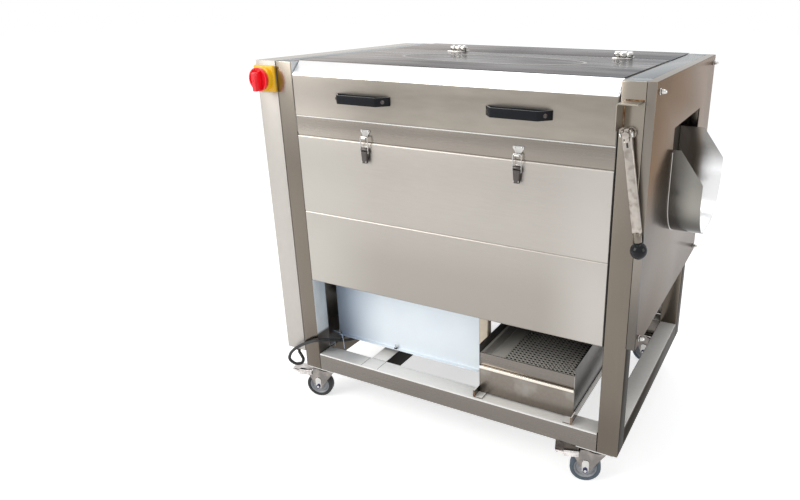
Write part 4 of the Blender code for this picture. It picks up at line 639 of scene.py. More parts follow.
# Behind the lid a fixed deck closes the top, on the rear rail that it is folded round.
# It is made of the same ground sheet as the lid.
low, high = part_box("rear_deck")
deck = sheet("deck", at_x(low.x, (low.y, low.z), (low.y, high.z), (high.y, high.z)), (high.x - low.x, 0, 0))
# The deck wears the lid top's painted reflections.
piece("deck_sheet", [deck], lid_top_steel, "frame", "matt_stainless", "rear_deck")


# Two steel butt hinges carry the lid. Each has a knuckle on the lid between two on the deck,
# a pin through all three, and leaves held by two countersunk screws.
def rods(axis, centre, *shapes):
    """Round bars on one axis. Each has a name, a radius, two ends, a rounding and its sides."""
    return [rod(name, axis, centre, *shape) for name, *shape in shapes]


for side in ("left", "right"):
    low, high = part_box(f"hinge_{side}")
    x, pin_y, pin_z = (low.x + high.x) / 2, y0 + 0.445, top + 0.010
    screw = (0.0035, high.z - 0.0075, top + 0.0036, 0.0004, 14)
    parts = [
        bar("leaf", (low.x, pin_y + 0.004, top + 0.0003), (high.x, high.y, top + 0.003), 0.0008, 2),
        *rods(
            "X",
            (0, pin_y, pin_z),
            ("knuckle", 0.0078, low.x, x - 0.0094, 0.001, 24),
            ("knuckle", 0.0078, x + 0.0094, high.x, 0.001, 24),
            ("pin", 0.0036, low.x - 0.001, high.x + 0.001, 0.001, 16),
        ),
        *[rod("screw", "Z", (x + step, high.y - 0.008, 0), *screw) for step in (-0.0145, 0.0145)],
    ]
    piece(f"deck_hinge_{side}", parts, bright_steel, "frame", "polished_stainless", f"hinge_{side}")
    screw = (0.0035, top + 0.001, top + 0.0038, 0.0004, 14)
    parts = [
        bar("leaf", (low.x, pin_y - 0.0268, top + 0.0002), (high.x, pin_y - 0.0045, top + 0.0031), 0.0008, 2),
        rod("knuckle", "X", (0, pin_y, pin_z), 0.0079, x - 0.009, x + 0.009, 0.001, 24),
        *[rod("screw", "Z", (x + step, pin_y - 0.019, 0), *screw) for step in (-0.0145, 0.0145)],
    ]
    piece(f"lid_hinge_{side}", parts, bright_steel, "lid", "polished_stainless")


# The lid's two handles are black moulded bows on a thin back plate, open behind the bar for the
# fingers. Each end slopes to the lid and is held by a socket screw in a counterbore.
handle_black = finish_of("handle_black", (0.011, 0.012, 0.015), 0.38, grain=700, vary=0.3, bump=0.1, shine=0.12)
# A lighter copy on the bows' top faces paints their highlight.
handle_edge = finish_of("handle_edge", (0.12, 0.125, 0.13), 0.4, grain=300, vary=0.5, bump=0.1)
for side, middle_x in (("left", 0.2578), ("right", 0.6503)):
    low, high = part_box(f"lid_handle_{side}")
    x, front, rear = x0 + middle_x, low.y, y0 - 0.0004
    foot, half = 0.0750, 0.0532
    left_half = [(-foot, rear), (-foot, rear - 0.004), (-half, front)]
    line = [(x + a, b, low.z) for a, b in left_half] + [(x - a, b, low.z) for a, b in reversed(left_half)]
    bow = sheet("bow", line, (0, 0, 0.0200), 0.0045, bend=0.003, edge=0)
    eased(bow, 0.0009, 3, 50)
    screws = []
    for way in (-1, 1):
        place = Vector((x + way * (half + 0.0112), (front + rear) / 2 - 0.0014, low.z + 0.0100))
        lean = turning(way * 49.5, "Z") @ turning(90, "X")
        for radius, depth, proud, sides in (
            (0.0046, 0.0016, 0.0004, 24), (0.0030, 0.0030, 0.0006, 20), (0.0014, 0.0046, 0.0004, 6),
        ):
            bpy.ops.mesh.primitive_cylinder_add(vertices=sides, radius=radius, depth=depth)
            bpy.context.object.matrix_world = Matrix.Translation(place) @ lean @ Matrix.Translation((0, 0, proud))
            screws.append(eased(added("screw"), 0.0003, 2))
    plate_low, plate_high = (x - 0.0705, y0 - 0.0018, low.z + 0.0006), (x + 0.0705, y0 - 0.0003, low.z + 0.0192)
    parts = [bow, bar("back", plate_low, plate_high, 0.0005, 2)]
    handle = piece(f"handle_bow_{side}", parts, handle_black, "lid", "black_plastic", f"lid_handle_{side}")
    # Painted highlight on the top faces.
    faced(handle, handle_edge, (0, 0, 1))
    piece(f"handle_screws_{side}", screws, dark_steel, "lid", "black_plastic")


# Each toggle latch is pressed from stainless: a base on the panel, a lever whose barrel
# turns on the base, and a loop of wire that the lever pulls down on the keeper.
def polar(radius, degrees):
    """The two distances of a point on a circle."""
    return radius * math.cos(math.radians(degrees)), radius * math.sin(math.radians(degrees))


def meshed(made):
    """Turn a wire into a mesh, so that it can be one piece with others."""
    chosen(made)
    bpy.ops.object.convert(target="MESH")
    return bpy.context.object


for side, x in latch_places.items():
    node, bail_node = f"latch_lever_{side}", f"latch_bail_{side}"
    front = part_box(node)[0].y
    pivot = (0, y0 - 0.008, 0.760)
    places = ((-0.0085, y0 - 0.0015), (-0.0072, front), (0.0072, front), (0.0085, y0 - 0.0055))
    line = [(x + a, b, 0.7275) for a, b in places]
    lever = sheet("lever", line, (0, 0, 0.0285), 0.0012, 1, bend=0.0016, edge=0)
    for vertex in lever.data.vertices:
        fall = max(0.0, (0.752 - vertex.co.z) / 0.0245)
        vertex.co.x = x + (vertex.co.x - x) * (1 - 0.30 * fall)
    barrel = rod("barrel", "X", pivot, 0.0044, x - 0.0087, x + 0.0087, 0.0012, 20)
    piece(f"lever_{side}", [lever, barrel], dark_steel, node, "polished_stainless", node)
    line = at_x(x - 0.0062, (front + 0.0001, 0.7355), (front - 0.0009, 0.7315), (front + 0.0005, 0.7275))
    thumb = drawn("thumb", line, (0.0124, 0, 0))
    changed(thumb, "SUBSURF", levels=2, render_levels=2)
    changed(thumb, "SOLIDIFY", thickness=0.0010, offset=0)
    parts = [thumb]
    for way in (-1, 1):
        parts.append(rod("rivet", "X", pivot, 0.0026, x + way * 0.0086, x + way * 0.0096, 0.0005, 12))
    piece(f"thumb_{side}", parts, bright_steel, node, "polished_stainless")
    half, bend, foot, head = 0.0100, 0.004, 0.751, 0.7895
    loop = [Vector((x + half, pivot[1], foot))]
    for centre, first in ((half - bend, 0), (bend - half, 90)):
        for step in range(5):
            out, up = polar(bend, first + 22.5 * step)
            loop.append(Vector((x + centre + out, pivot[1], head - bend + up)))
    loop.append(Vector((x - half, pivot[1], foot)))
    bail = meshed(wire("bail", loop, 0.00125, 3, cyclic=True))
    piece(f"bail_{side}", [bail], bright_steel, bail_node, "polished_stainless", bail_node)
    base = bar("base", (x - 0.0062, y0 - 0.0022, 0.741), (x + 0.0062, y0 - 0.0002, 0.766), 0.0006, 2)
    piece(f"latch_base_{side}", [base], bright_steel, "upper_panel", "polished_stainless")


# The drive cover is a deep folded pan of pale ground sheet, screwed to the left end ring.
# Its front is one narrow face, and a cut edge shows where its side and front meet.
cover_sheet = finish_of("cover_sheet", (0.49, 0.463, 0.43), 0.45, 0.6, vary=0.03, bump=0.015)
low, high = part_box("drive_cover")
wall, step = 0.0015, 0.0005
x, front, rear = low.x + step, low.y + step, high.y - step
plates = [
    bar("face", low, (low.x + wall, high.y, high.z), step, 2),
    bar("front", (x, low.y, low.z), (high.x, low.y + wall, high.z), step, 2),
    bar("rear", (x, high.y - wall, low.z), high, step, 2),
    bar("top", (x, front, high.z - wall), (high.x, rear, high.z), step, 2),
    bar("foot", (x, front, low.z), (high.x, rear, low.z + wall), step, 2),
]
piece("cover_pan", plates, cover_sheet, "frame", "cover_sheet", "drive_cover")
heads = []
for y in (0.035, 0.3385, 0.642):
    for z in (0.190, 0.555, 0.920):
        heads.append(rod("head", "X", (0, y0 + y, z), 0.006, low.x - 0.0010, low.x + 0.001, 0.0006, 18))
piece("cover_screws", heads, bright_steel, "frame", "polished_stainless")


# The isolator is a bought rotary switch: a square yellow plate with a deep round collar, and a
# red cup with a tall grip across it, which a recessed screw holds.
def turned(name, axis, centre, line, steps=48):
    """A turned shape: its outline, as distance along the axis and radius, spun round the axis."""
    along = Vector([float(letter == axis) for letter in "XYZ"])
    out = Vector((1, 0, 0)) if axis == "Z" else Vector((0, 0, 1))
    made = profile(name, [Vector(centre) + along * distance + out * radius for distance, radius in line])
    with editing(made):
        bpy.ops.mesh.spin(steps=steps, angle=2 * math.pi, center=centre, axis=along)
        bpy.ops.mesh.select_all(action="SELECT")
        bpy.ops.mesh.remove_doubles(threshold=0.00001)
        bpy.ops.mesh.normals_make_consistent(inside=False)
    return made


eye_red = finish_of("eye_red", (0.20, 0.004, 0.006), 0.5, grain=400, vary=0.1, bump=0.02)
yellow_plastic = finish_of("yellow_plastic", (0.95, 0.54, 0.008), 0.30, grain=500, vary=0.05, bump=0.03)
red_plastic = finish_of("red_plastic", (1.0, 0.010, 0.022), 0.3, grain=500, vary=0.06, bump=0.03, gloss=0.3)
low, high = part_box("isolator_base")
x, z = (low.x + high.x) / 2, (low.z + high.z) / 2
plate = eased(bar("plate", low, high, 0), 0.0045, 4)
collar = rod("collar", "Y", (x, 0, z), 0.0288, low.y - 0.0125, low.y + 0.004, 0.001, 64)
piece("isolator_plate", [plate, collar], yellow_plastic, "frame", "yellow_plastic", "isolator_base")
low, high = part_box("isolator_knob")
cup_line = [
    (-0.0130, 0.0), (-0.0130, 0.0272), (-0.0205, 0.0279), (-0.0212, 0.0272),
    (-0.0212, 0.0256), (-0.0205, 0.0250), (-0.0155, 0.0246), (-0.0150, 0.0),
]
cup = turned("cup", "Y", (x, 0, z), [(high.y + a, b) for a, b in cup_line], 72)
grip = bar("grip", (x - 0.0088, low.y + 0.0002, low.z + 0.0006), (x + 0.0088, high.y - 0.0145, high.z - 0.0075), 0)
for vertex in grip.data.vertices:
    if vertex.co.y < high.y - 0.02:
        vertex.co.x = x + (vertex.co.x - x) * 0.62
        if vertex.co.z > z:
            vertex.co.z -= 0.004
eased(grip, 0.0016, 4)
piece("knob", [cup, grip], red_plastic, "isolator_knob", "red_plastic", "isolator_knob")
eye = rod("eye", "Y", (x, 0, z - 0.002), 0.0017, low.y, low.y + 0.0012, 0.0002, 16)
piece("grip_screw", [eye], eye_red, "isolator_knob", "red_plastic")


# Each caster has a steel top plate welded under its corner of the frame, and a double ball
# race pressed into the plate, on which the fork turns.
caster_places = {
    "front_left": (0.047, 0.035),
    "front_right": (0.854, 0.035),
    "rear_left": (0.047, 0.642),
    "rear_right": (0.845, 0.642),
}
for place, (along, back) in caster_places.items():
    x, y = x0 + along, y0 + back
    plate = bar("plate", (x - 0.045, y - 0.033, 0.1017), (x + 0.045, y + 0.033, 0.1047), 0)
    parts = [
        eased(plate, 0.0012, 2),
        rod("race", "Z", (x, y, 0), 0.0270, 0.0960, 0.1018, 0.0015, 40),
        rod("lip", "Z", (x, y, 0), 0.0240, 0.0938, 0.0965, 0.0008, 40),
    ]
    piece(f"caster_plate_{place}", parts, bright_steel, "frame", "brushed_stainless")


# A hood of 3 mm sheet over the gate lever's pivot keeps splashes off the shaft. It is welded
# to the post along its rear edges, and the welds have rusted a little.
def patched(name, colour, patch_colour, roughness, reach=(0.45, 0.62), scale=9.0):
    """A metal finish whose second colour comes through in soft patches."""
    made = finish_of(name, colour, roughness, 1.0, grain=120, vary=0.12, bump=0.06)
    place = shader_node(made.node_tree, "TexCoord")
    patches = shader_node(made.node_tree, "TexNoise", Scale=scale, Detail=5.0)
    link(made.node_tree, (place.outputs["Object"], patches.inputs["Vector"]))
    overlaid(made, patches.outputs["Fac"], *reach, patch_colour)
    return made


hood_steel = patched("hood_steel", (0.34, 0.31, 0.26), (0.36, 0.22, 0.11), 0.34, (0.58, 0.72), 45.0)
weld_rust = patched("weld_rust", (0.34, 0.24, 0.15), (0.16, 0.06, 0.02), 0.55, (0.35, 0.60), 160.0)
left, right, foot, head = x0 + 0.866, x0 + 0.908, 0.8629, 0.9159
front = y0 - 0.050
line = [(left, front, foot), (left, front, head), (right, front, head)]
hood = sheet("hood", line, (0, 0.0498, 0), 0.003, bend=0.0055, edge=0.0006)
piece("hood", [hood], hood_steel, "frame", "brushed_stainless")
beads = []
for start, end in (
    (Vector((left + 0.0032, y0 - 0.0008, foot + 0.002)), Vector((left + 0.0032, y0 - 0.0008, head - 0.0055))),
    (Vector((left + 0.006, y0 - 0.0008, head + 0.0002)), Vector((right - 0.001, y0 - 0.0008, head + 0.0002))),
):
    drops = []
    for step in range(41):
        swell = 0.0004 * math.sin(step * 2.4)
        drops.append(start + (end - start) * step / 40 + Vector((swell, swell, 0)))
    beads.append(meshed(wire("weld", drops, 0.0016, 2)))
piece("hood_welds", beads, weld_rust, "frame", "brushed_stainless")


# The end cover is a shallow pan of ground sheet on four studs, each with a washer and an acorn
# nut. A U-shaped opening in it lets the chute through.
def opening_line(x, half, foot, radius, head, steps=10):
    """The U of the discharge opening and chute: down in front, round the bottom and up behind."""
    points = [(-half, head)]
    for first, way in ((180, -1), (270, 1)):
        for step in range(steps + 1):
            out, up = polar(radius, first + 90 * step / steps)
            points.append((way * (half - radius) + out, foot + radius + up))
    return [(x, trough_y + a, b) for a, b in (*points, (half, head))]


def slab(name, points, run):
    """A flat plate cut to an outline, its thickness given by the run."""
    made = profile(name, points)
    with editing(made):
        bpy.ops.mesh.edge_face_add()
        extruded(run)
        bpy.ops.mesh.select_all(action="SELECT")
        bpy.ops.mesh.normals_make_consistent(inside=False)
    return made


def cut(made, *cutters):
    """Cut shapes out of a piece."""
    for cutter in cutters:
        changed(made, "BOOLEAN", object=cutter, solver="EXACT")
        bpy.data.objects.remove(cutter)
    return made


cover_steel = patched("cover_steel", (0.175, 0.128, 0.09), (0.225, 0.138, 0.08), 0.25, (0.42, 0.66), 4.0)
# The pan turns bluish grey towards its top and near black towards its foot, and its sheen is tinted: painted light
# and shade.
graded(cover_steel, "Z", 0.80, 0.62, (0.20, 0.205, 0.21))
graded(cover_steel, "Z", 0.56, 0.36, (0.010, 0.010, 0.010))
glancing(cover_steel, (0.72, 0.655, 0.61))
# A lighter copy on the front and top faces of the pan paints their light, darker towards the foot as painted shade.
flange_steel = finish_of("flange_steel", (0.24, 0.217, 0.19), 0.3, 1.0, grain=(60, 60, 8), vary=0.1, bump=0.02)
graded(flange_steel, "Z", 0.62, 0.42, (0.12, 0.108, 0.096))
trough_y = y0 + 0.35299
low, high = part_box("end_cover")
face_x = x0 + 0.929
pan = bar("pan", (x0 + 0.9103, low.y, low.z), (face_x, high.y, high.z), 0)
with editing(pan, lambda face: face.normal.x < -0.9):
    bpy.ops.mesh.delete(type="FACE")
eased(pan, 0.0022, 3, 40)
changed(pan, "SOLIDIFY", thickness=0.0015, offset=-1)
cut(pan, slab("hole", opening_line(face_x - 0.01, 0.1515, 0.5691, 0.1115, 0.8329), (0.02, 0, 0)))
piece("end_pan", [pan], cover_steel, "frame", "matt_stainless", "end_cover")
# Faces pointing forward and up take the painted light copy.
for heading in ((0, -1, 0), (0, 0, 1)):
    faced(pan, flange_steel, heading)
nuts = []
for y in (y0 + 0.025, y0 + 0.652):
    for z in (0.408, 0.932):
        nuts.append(rod("washer", "X", (0, y, z), 0.0068, face_x, face_x + 0.0016, 0.0004, 28))
        nuts.append(rod("hexagon", "X", (0, y, z), 0.0054, face_x + 0.0015, face_x + 0.0070, 0.0006, 6))
        dome_place = (face_x + 0.0068, y, z)
        bpy.ops.mesh.primitive_uv_sphere_add(segments=20, ring_count=10, radius=1, location=dome_place)
        bpy.context.object.scale = (0.0068, 0.0046, 0.0046)
        nuts.append(added("dome"))
piece("acorn_nuts", nuts, bright_steel, "frame", "polished_stainless")


# The discharge chute is a U of polished sheet welded through the opening. Its sides are cut
# down to a low lip at the mouth.
chute_steel = finish_of("chute_steel", (0.135, 0.128, 0.118), 0.22, 1.0, grain=(8, 200, 200), vary=0.08, bump=0.015)
# Lighter towards the mouth and darker towards the bottom of the U: painted light and painted shade.
graded(chute_steel, "X", x0 + 0.945, x0 + 0.985, (0.26, 0.25, 0.225))
graded(chute_steel, "Z", 0.66, 0.58, (0.075, 0.072, 0.066))
# The faces inside the U take a copy that turns near white towards the bottom and brownish towards the opening:
# painted light.
chute_inside_light = finish_of("chute_inside_light", (0.34, 0.335, 0.32), 0.24, 1.0, grain=(8, 8, 200), vary=0.08, bump=0.01)
graded(chute_inside_light, "Z", 0.745, 0.675, (0.88, 0.88, 0.885))
graded(chute_inside_light, "X", x0 + 0.955, x0 + 0.935, (0.42, 0.37, 0.32))
line = opening_line(x0 + 0.8645, 0.15, 0.5709, 0.110, 0.7849, 12)
chute = sheet("chute", line, (0.1365, 0, 0), bend=0, edge=0)
with editing(chute):
    slant = Vector((0.073, 0, 0.054)).normalized()
    bpy.ops.mesh.bisect(plane_co=(x0 + 0.947, 0, 0.7849), plane_no=slant, use_fill=True, clear_outer=True)
eased(chute, 0.0003, 2, 60)
piece("chute_trough", [chute], chute_steel, "frame", "matt_stainless", "discharge_chute")
# The faces inside the U take the painted light.
painted(
    chute,
    chute_inside_light,
    lambda face: abs(face.normal.x) < 0.5
    and face.normal.y * (trough_y - face.center.y) + face.normal.z * max(0.0, 0.70 - face.center.z) > 0,
)
seam = opening_line(face_x + 0.0006, 0.1506, 0.5703, 0.1106, 0.7790, 14)
piece("chute_weld", [meshed(wire("weld", seam, 0.0011, 2))], bright_steel, "frame", "matt_stainless")


# The gate is a U-shaped flap that hangs from a rock shaft behind the opening. The shaft comes
# out through the post, and a forked flat lever is bolted across its flattened end.
def leaned(*parts):
    """Swing shapes that were drawn upright to the lever's lean."""
    for part in parts:
        part.data.transform(Matrix.Translation(pivot) @ turning(-10, "Y") @ Matrix.Translation(-pivot))
    return parts


# The flap's near-black steel paints the deep shade it hangs in, and the shade in the lever's slot.
flap_steel = finish_of("flap_steel", (0.045, 0.042, 0.04), 0.35, 1.0, grain=90, vary=0.2, bump=0.05)
lever_steel = patched("lever_steel", (0.40, 0.365, 0.33), (0.24, 0.21, 0.185), 0.30, (0.5, 0.7), 70.0)
x, y, z = shaft_x, y0 - 0.025, shaft_z
pivot = Vector((x, 0, z))
shaft = rod("shaft", "Y", pivot, 0.007, y0 - 0.0375, y0 + 0.5145, 0.0008, 32)
flap = eased(slab("flap", opening_line(x - 0.00075, 0.1455, 0.5764, 0.107, z), (0.0015, 0, 0)), 0.0003, 1, 60)
piece("flap_plate", [flap], flap_steel, "gate", "matt_stainless", "gate_flap")
piece("gate_shaft", [shaft], lever_steel, "gate", "brushed_stainless")
arm = bar("arm", (x - 0.0098, y - 0.0058, z - 0.196), (x + 0.0098, y + 0.0058, z - 0.010), 0)
parts = [eased(arm, 0.0042, 5)]
for way in (-1, 1):
    cheek = bar("cheek", (x + way * 0.0098, y - 0.0060, z - 0.030), (x + way * 0.0055, y + 0.0060, z + 0.0105), 0)
    parts.append(eased(cheek, 0.0022, 3))
parts.append(bar("tongue", (x - 0.0050, y - 0.0052, z - 0.016), (x + 0.0050, y + 0.0052, z + 0.0128), 0.0018))
piece("lever_arm", leaned(*parts), lever_steel, "gate", "brushed_stainless", "gate_lever")
# A dark plate in the fork paints the shade in the lever's slot.
slot = bar("slot", (x - 0.0022, y - 0.0062, z - 0.0245), (x + 0.0022, y - 0.0035, z - 0.0145), 0.0010, 2)
piece("lever_slot_shade", leaned(slot), flap_steel, "gate", "brushed_stainless")
parts = rods(
    "X",
    (0, y - 0.0005, z),
    ("bolt", 0.0036, x - 0.0125, x + 0.0130, 0.0006, 20),
    ("head", 0.0054, x - 0.0140, x - 0.0100, 0.0016, 24),
    ("nut", 0.0062, x + 0.0100, x + 0.0128, 0.0006, 6),
    ("washer", 0.0068, x + 0.0096, x + 0.0103, 0.0002, 24),
)
piece("lever_bolt", leaned(*parts), bright_steel, "gate", "polished_stainless")
ferrule = rod("ferrule", "Z", (x, y, 0), 0.0082, z - 0.2145, z - 0.1925, 0.0012, 32)
groove = rod("groove", "Z", (x, y, 0), 0.0086, z - 0.1965, z - 0.1935, 0.0008, 32)
piece("lever_ferrule", leaned(ferrule, groove), post_steel, "gate", "brushed_stainless")


# The lever's knob is a 35 mm ball of glossy black phenolic, screwed on over a steel insert.
# It is a little flattened where it meets its neck.
ball_black = finish_of("ball_black", (0.006, 0.007, 0.009), 0.14, grain=90, vary=0.2, bump=0.0, shine=0.22)
bpy.ops.mesh.primitive_uv_sphere_add(segments=48, ring_count=24, radius=0.0174, location=(x, y, z - 0.2318))
ball = added("ball")
for vertex in ball.data.vertices:
    vertex.co.z = min(vertex.co.z, z - 0.2155)
neck = rod("neck", "Z", (x, y, 0), 0.0090, z - 0.2172, z - 0.2150, 0.0006, 32)
piece("knob_ball", leaned(ball, neck), ball_black, "gate", "black_plastic", "lever_ball")


# The splash panel in front of the motor still wears its pale blue film. Its foot is folded
# forward into a lip with two screws, and an angle stands behind its right edge.
splash_film = finish_of("splash_film", (0.86, 0.93, 1.0), 0.38, 0.1, grain=14, vary=0.03, bump=0.02)
# Darker towards the left end beside the post: painted shade.
graded(splash_film, "X", x0 + 0.24, x0 + 0.04, (0.40, 0.48, 0.60))
low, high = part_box("splash_panel")
line = at_x(low.x, (y0 + 0.082, low.z), (y0 + 0.0935, low.z), (y0 + 0.0935, high.z), (y0 + 0.003, high.z))
splash = sheet("splash", line, (high.x - low.x, 0, 0), 0.0015, 1)
piece("splash", [splash], splash_film, "frame", "splash_sheet", "splash_panel")
for number, x in enumerate((0.0565, 0.2500), 1):
    centre, z = (x0 + x, y0 + 0.0865, 0), low.z + 0.0028
    washer = rod("washer", "Z", centre, 0.0048, low.z + 0.0014, low.z + 0.0030, 0.0005, 24)
    piece(f"splash_washer_{number}", [washer], handle_black, "frame", "black_plastic")
    nut = rod("nut", "Z", centre, 0.0034, z, z + 0.0034, 0.0005, 6)
    stud = rod("stud", "Z", centre, 0.0017, z, z + 0.0102, 0.0004, 12)
    piece(f"splash_stud_{number}", [nut, stud], bright_steel, "frame", "polished_stainless")
angle_beige = finish_of("angle_beige", (0.60, 0.52, 0.41), 0.42, 0.35, vary=0.08, bump=0.03)
places = ((high.x - 0.010, 0.0962), (high.x + 0.0225, 0.0962), (high.x + 0.0225, 0.112))
angle = sheet("angle", [(a, y0 + b, low.z) for a, b in places], (0, 0, high.z - low.z), 0.0020, 1, bend=0.002)
piece("splash_angle", [angle], angle_beige, "frame", "matt_stainless")


# The residue box is a folded and welded drawer with a low front, whose top edge is folded out
# into a bright rim. Ledges along its sides carry the sieve tray, and a spout drains it behind.
box_steel = patched("box_steel", (0.205, 0.182, 0.158), (0.34, 0.325, 0.305), 0.36, (0.52, 0.72), 11.0)
# The walls, ledges and spout take a darker copy of the front's steel: painted shade inside the frame.
box_side_steel = patched("box_side_steel", (0.11, 0.105, 0.10), (0.19, 0.187, 0.182), 0.30, (0.52, 0.68), 14.0)
# A pale copy of the box steel on the outward-turned rim paints its highlight.
rim_steel = finish_of("rim_steel", (0.74, 0.69, 0.61), 0.25, 1.0, grain=(12, 300, 300), vary=0.06, bump=0.02)
low, high = box_low, box_high
back, lip_z, wall = y0 + 0.617, 0.236, 0.0015
parts = []
for x, way in ((low.x, 1), (high.x, -1)):
    ledge_low = (x + way * 0.001, low.y + 0.003, lip_z - wall)
    parts += [
        bar("wall", (x, low.y, low.z), (x + way * wall, back, high.z), 0.0004, 2),
        rod("hem", "Y", (x + way * 0.0018, 0, high.z - 0.0014), 0.0014, low.y, back, 0.0003, 12),
        bar("ledge", ledge_low, (x + way * 0.0095, back - 0.001, lip_z), 0.0003, 1),
    ]
left, right = low.x + 0.001, high.x - 0.001
parts.append(bar("back", (left, back - wall, low.z), (right, back, high.z), 0.0004, 2))
parts.append(bar("floor", (left, low.y + 0.0005, low.z), (right, back - 0.0005, low.z + wall), 0.0003, 1))
drain_x = (low.x + high.x) / 2
spout = rod("spout", "Y", (drain_x, 0, low.z + 0.024), 0.016, back - 0.001, back + 0.0298, 0, 40)
with editing(spout, lambda face: face.normal.y > 0.9):
    bpy.ops.mesh.inset(thickness=0.0015)
    extruded((0, -0.029, 0))
drawer = piece("box_walls", [*parts, spout], box_side_steel, "residue_box", "matt_stainless", "residue_box")
# The box floor is near black: painted shade under the sieve.
faced(drawer, shade_and_mark_steel, (0, 0, 1), high=(9, 9, low.z + 0.004))
front = bar("front", (low.x + 0.0012, low.y, low.z), (high.x - 0.0012, low.y + wall, lip_z - 0.004), 0.0004, 2)
piece("box_front", [front], box_steel, "residue_box", "matt_stainless")
places = ((0.0012, -0.0095), (-0.0030, -0.0075), (-0.0030, -0.0018), (0.0015, -0.0012))
line = at_x(low.x + 0.0015, *[(low.y + a, lip_z + b) for a, b in places])
rim = sheet("rim", line, (high.x - low.x - 0.003, 0, 0), 0.0012, bend=0.0012)
piece("box_rim", [rim], rim_steel, "residue_box", "matt_stainless")
stains = []
for x, way in ((low.x - 0.0018, -1), (high.x + 0.0018, 1)):
    for out in (0.0028, -0.0004):
        line = at_x(x + way * out, (y0 + 0.0052, 0.1562), (y0 + 0.0050, 0.1650), (y0 + 0.0052, 0.1738))
        stains.append(meshed(wire("weld", smooth_line([Vector(place) for place in line], 5), 0.0009, 2)))
piece("runner_rust", stains, weld_rust, "frame", "brushed_stainless")


# The sieve tray lies on the ledges: a shallow frame round a sheet punched with 6 mm holes,
# 11 mm apart, with a plain strip along its left side.
sieve_steel = finish_of("sieve_steel", (0.62, 0.59, 0.54), 0.45, vary=0.1, bump=0.04)
# Darker towards the back, under the hopper: painted shade.
graded(sieve_steel, "Y", y0 + 0.05, y0 + 0.27, (0.045, 0.043, 0.04))
low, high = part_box("sieve_tray")
pitch, columns, rows, sieve_z = 0.011, 17, 51, 0.262
first_hole = Vector((high.x - 0.0075 - (columns - 1) * pitch, low.y + 0.0085, sieve_z))
bpy.ops.mesh.primitive_circle_add(vertices=12, radius=0.0031, fill_type="NOTHING", location=(0, 0, 0))
cell = bpy.context.object
with editing(cell):
    bpy.ops.mesh.extrude_region_move()
    bpy.ops.transform.resize(value=(2, 2, 1))
for vertex in cell.data.vertices:
    if vertex.co.length > 0.004:
        vertex.co *= pitch / 2 / max(abs(vertex.co.x), abs(vertex.co.y))
cell.location = first_hole
settled(cell)
for count, step in ((columns, (pitch, 0, 0)), (rows, (0, pitch, 0))):
    spacing = {"use_relative_offset": False, "use_constant_offset": True, "constant_offset_displace": step}
    changed(cell, "ARRAY", count=count, use_merge_vertices=True, merge_threshold=0.00005, **spacing)
with editing(cell):
    bpy.ops.mesh.normals_make_consistent(inside=False)
if cell.data.polygons[0].normal.z < 0:
    cell.data.flip_normals()
changed(cell, "SOLIDIFY", thickness=0.0010, offset=-1)
left, back = first_hole.x - pitch / 2, first_hole.y + (rows - 0.5) * pitch
under, front, rear = sieve_z - 0.0015, low.y + 0.001, high.y - 0.001
near, far = low.x + 0.001, high.x - 0.001
parts = [
    cell,
    bar("rim", low, (low.x + 0.0015, high.y, high.z), 0.0004, 2),
    bar("rim", (high.x - 0.0015, low.y, low.z), high, 0.0004, 2),
    bar("rim", (near, high.y - 0.0015, low.z), (far, high.y, high.z), 0.0004, 2),
    bar("strip", (near, front, under), (left + 0.0001, rear, sieve_z), 0.0002, 1),
    bar("strip", (high.x - 0.0034, front, under), (far, rear, sieve_z), 0.0002, 1),
    bar("strip", (left, front, under), (high.x - 0.003, first_hole.y - pitch / 2, sieve_z), 0.0002, 1),
    bar("strip", (left, back, under), (high.x - 0.003, rear, sieve_z), 0.0002, 1),
    bar("fold", (low.x + 0.024, low.y + 0.002, 0.2612), (low.x + 0.026, high.y - 0.002, 0.2630), 0.0006, 2),
]
sieve = piece("sieve", parts, sieve_steel, "sieve_tray", "matt_stainless", "sieve_tray")
# The walls of the holes are near black: painted shade in the holes.
painted(
    sieve,
    shade_and_mark_steel,
    lambda face: abs(face.normal.z) < 0.5 and 0.2602 < face.center.z < 0.2619 and face.center.x > left,
)
front = bar("front", (near, low.y, low.z), (far, low.y + 0.0015, high.z), 0.0004, 2)
hem = rod("hem", "X", (0, low.y + 0.0012, high.z - 0.0012), 0.0012, near, far, 0.0003, 12)
piece("sieve_front", [front, hem], rail_steel, "sieve_tray", "matt_stainless")


# The hopper is a folded funnel of thin sheet under the rollers. It hangs between the end rings
# and ends in a square spout over the sieve. Its near-black colour is painted shade.
# The hopper's near-black steel is painted shade.
hopper_steel = patched("hopper_steel", (0.045, 0.043, 0.040), (0.09, 0.085, 0.08), 0.45, (0.45, 0.65))
low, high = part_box("hopper")
left, right, back = box_low.x + 0.0217, box_high.x - 0.0217, y0 + 0.595
rim_z, spout_deep = high.z - 0.030, 0.012
bpy.ops.mesh.primitive_plane_add(size=1, location=((left + right) / 2, (low.y + back) / 2, low.z))
bpy.context.object.scale = (right - left, back - low.y, 1)
funnel = added("funnel")
with editing(funnel):
    bpy.ops.mesh.delete(type="ONLY_FACE")
    for rise in (spout_deep, rim_z - low.z - spout_deep, high.z - rim_z):
        bpy.ops.mesh.select_all(action="DESELECT")
        bpy.ops.object.mode_set(mode="OBJECT")
        vertices = funnel.data.vertices
        upper = max(vertex.co.z for vertex in vertices)
        for vertex in vertices:
            vertex.select = vertex.co.z > upper - 0.0001
        for edge in funnel.data.edges:
            edge.select = all(vertices[end].select for end in edge.vertices)
        bpy.ops.object.mode_set(mode="EDIT")
        extruded((0, 0, rise))
for vertex in funnel.data.vertices:
    if vertex.co.z > rim_z - 0.0001:
        vertex.co.x = low.x if vertex.co.x < drain_x else high.x
        vertex.co.y = low.y if vertex.co.y < low.y + 0.1 else high.y
with editing(funnel):
    bpy.ops.mesh.normals_make_consistent(inside=False)
eased(funnel, 0.004, 3, 8)
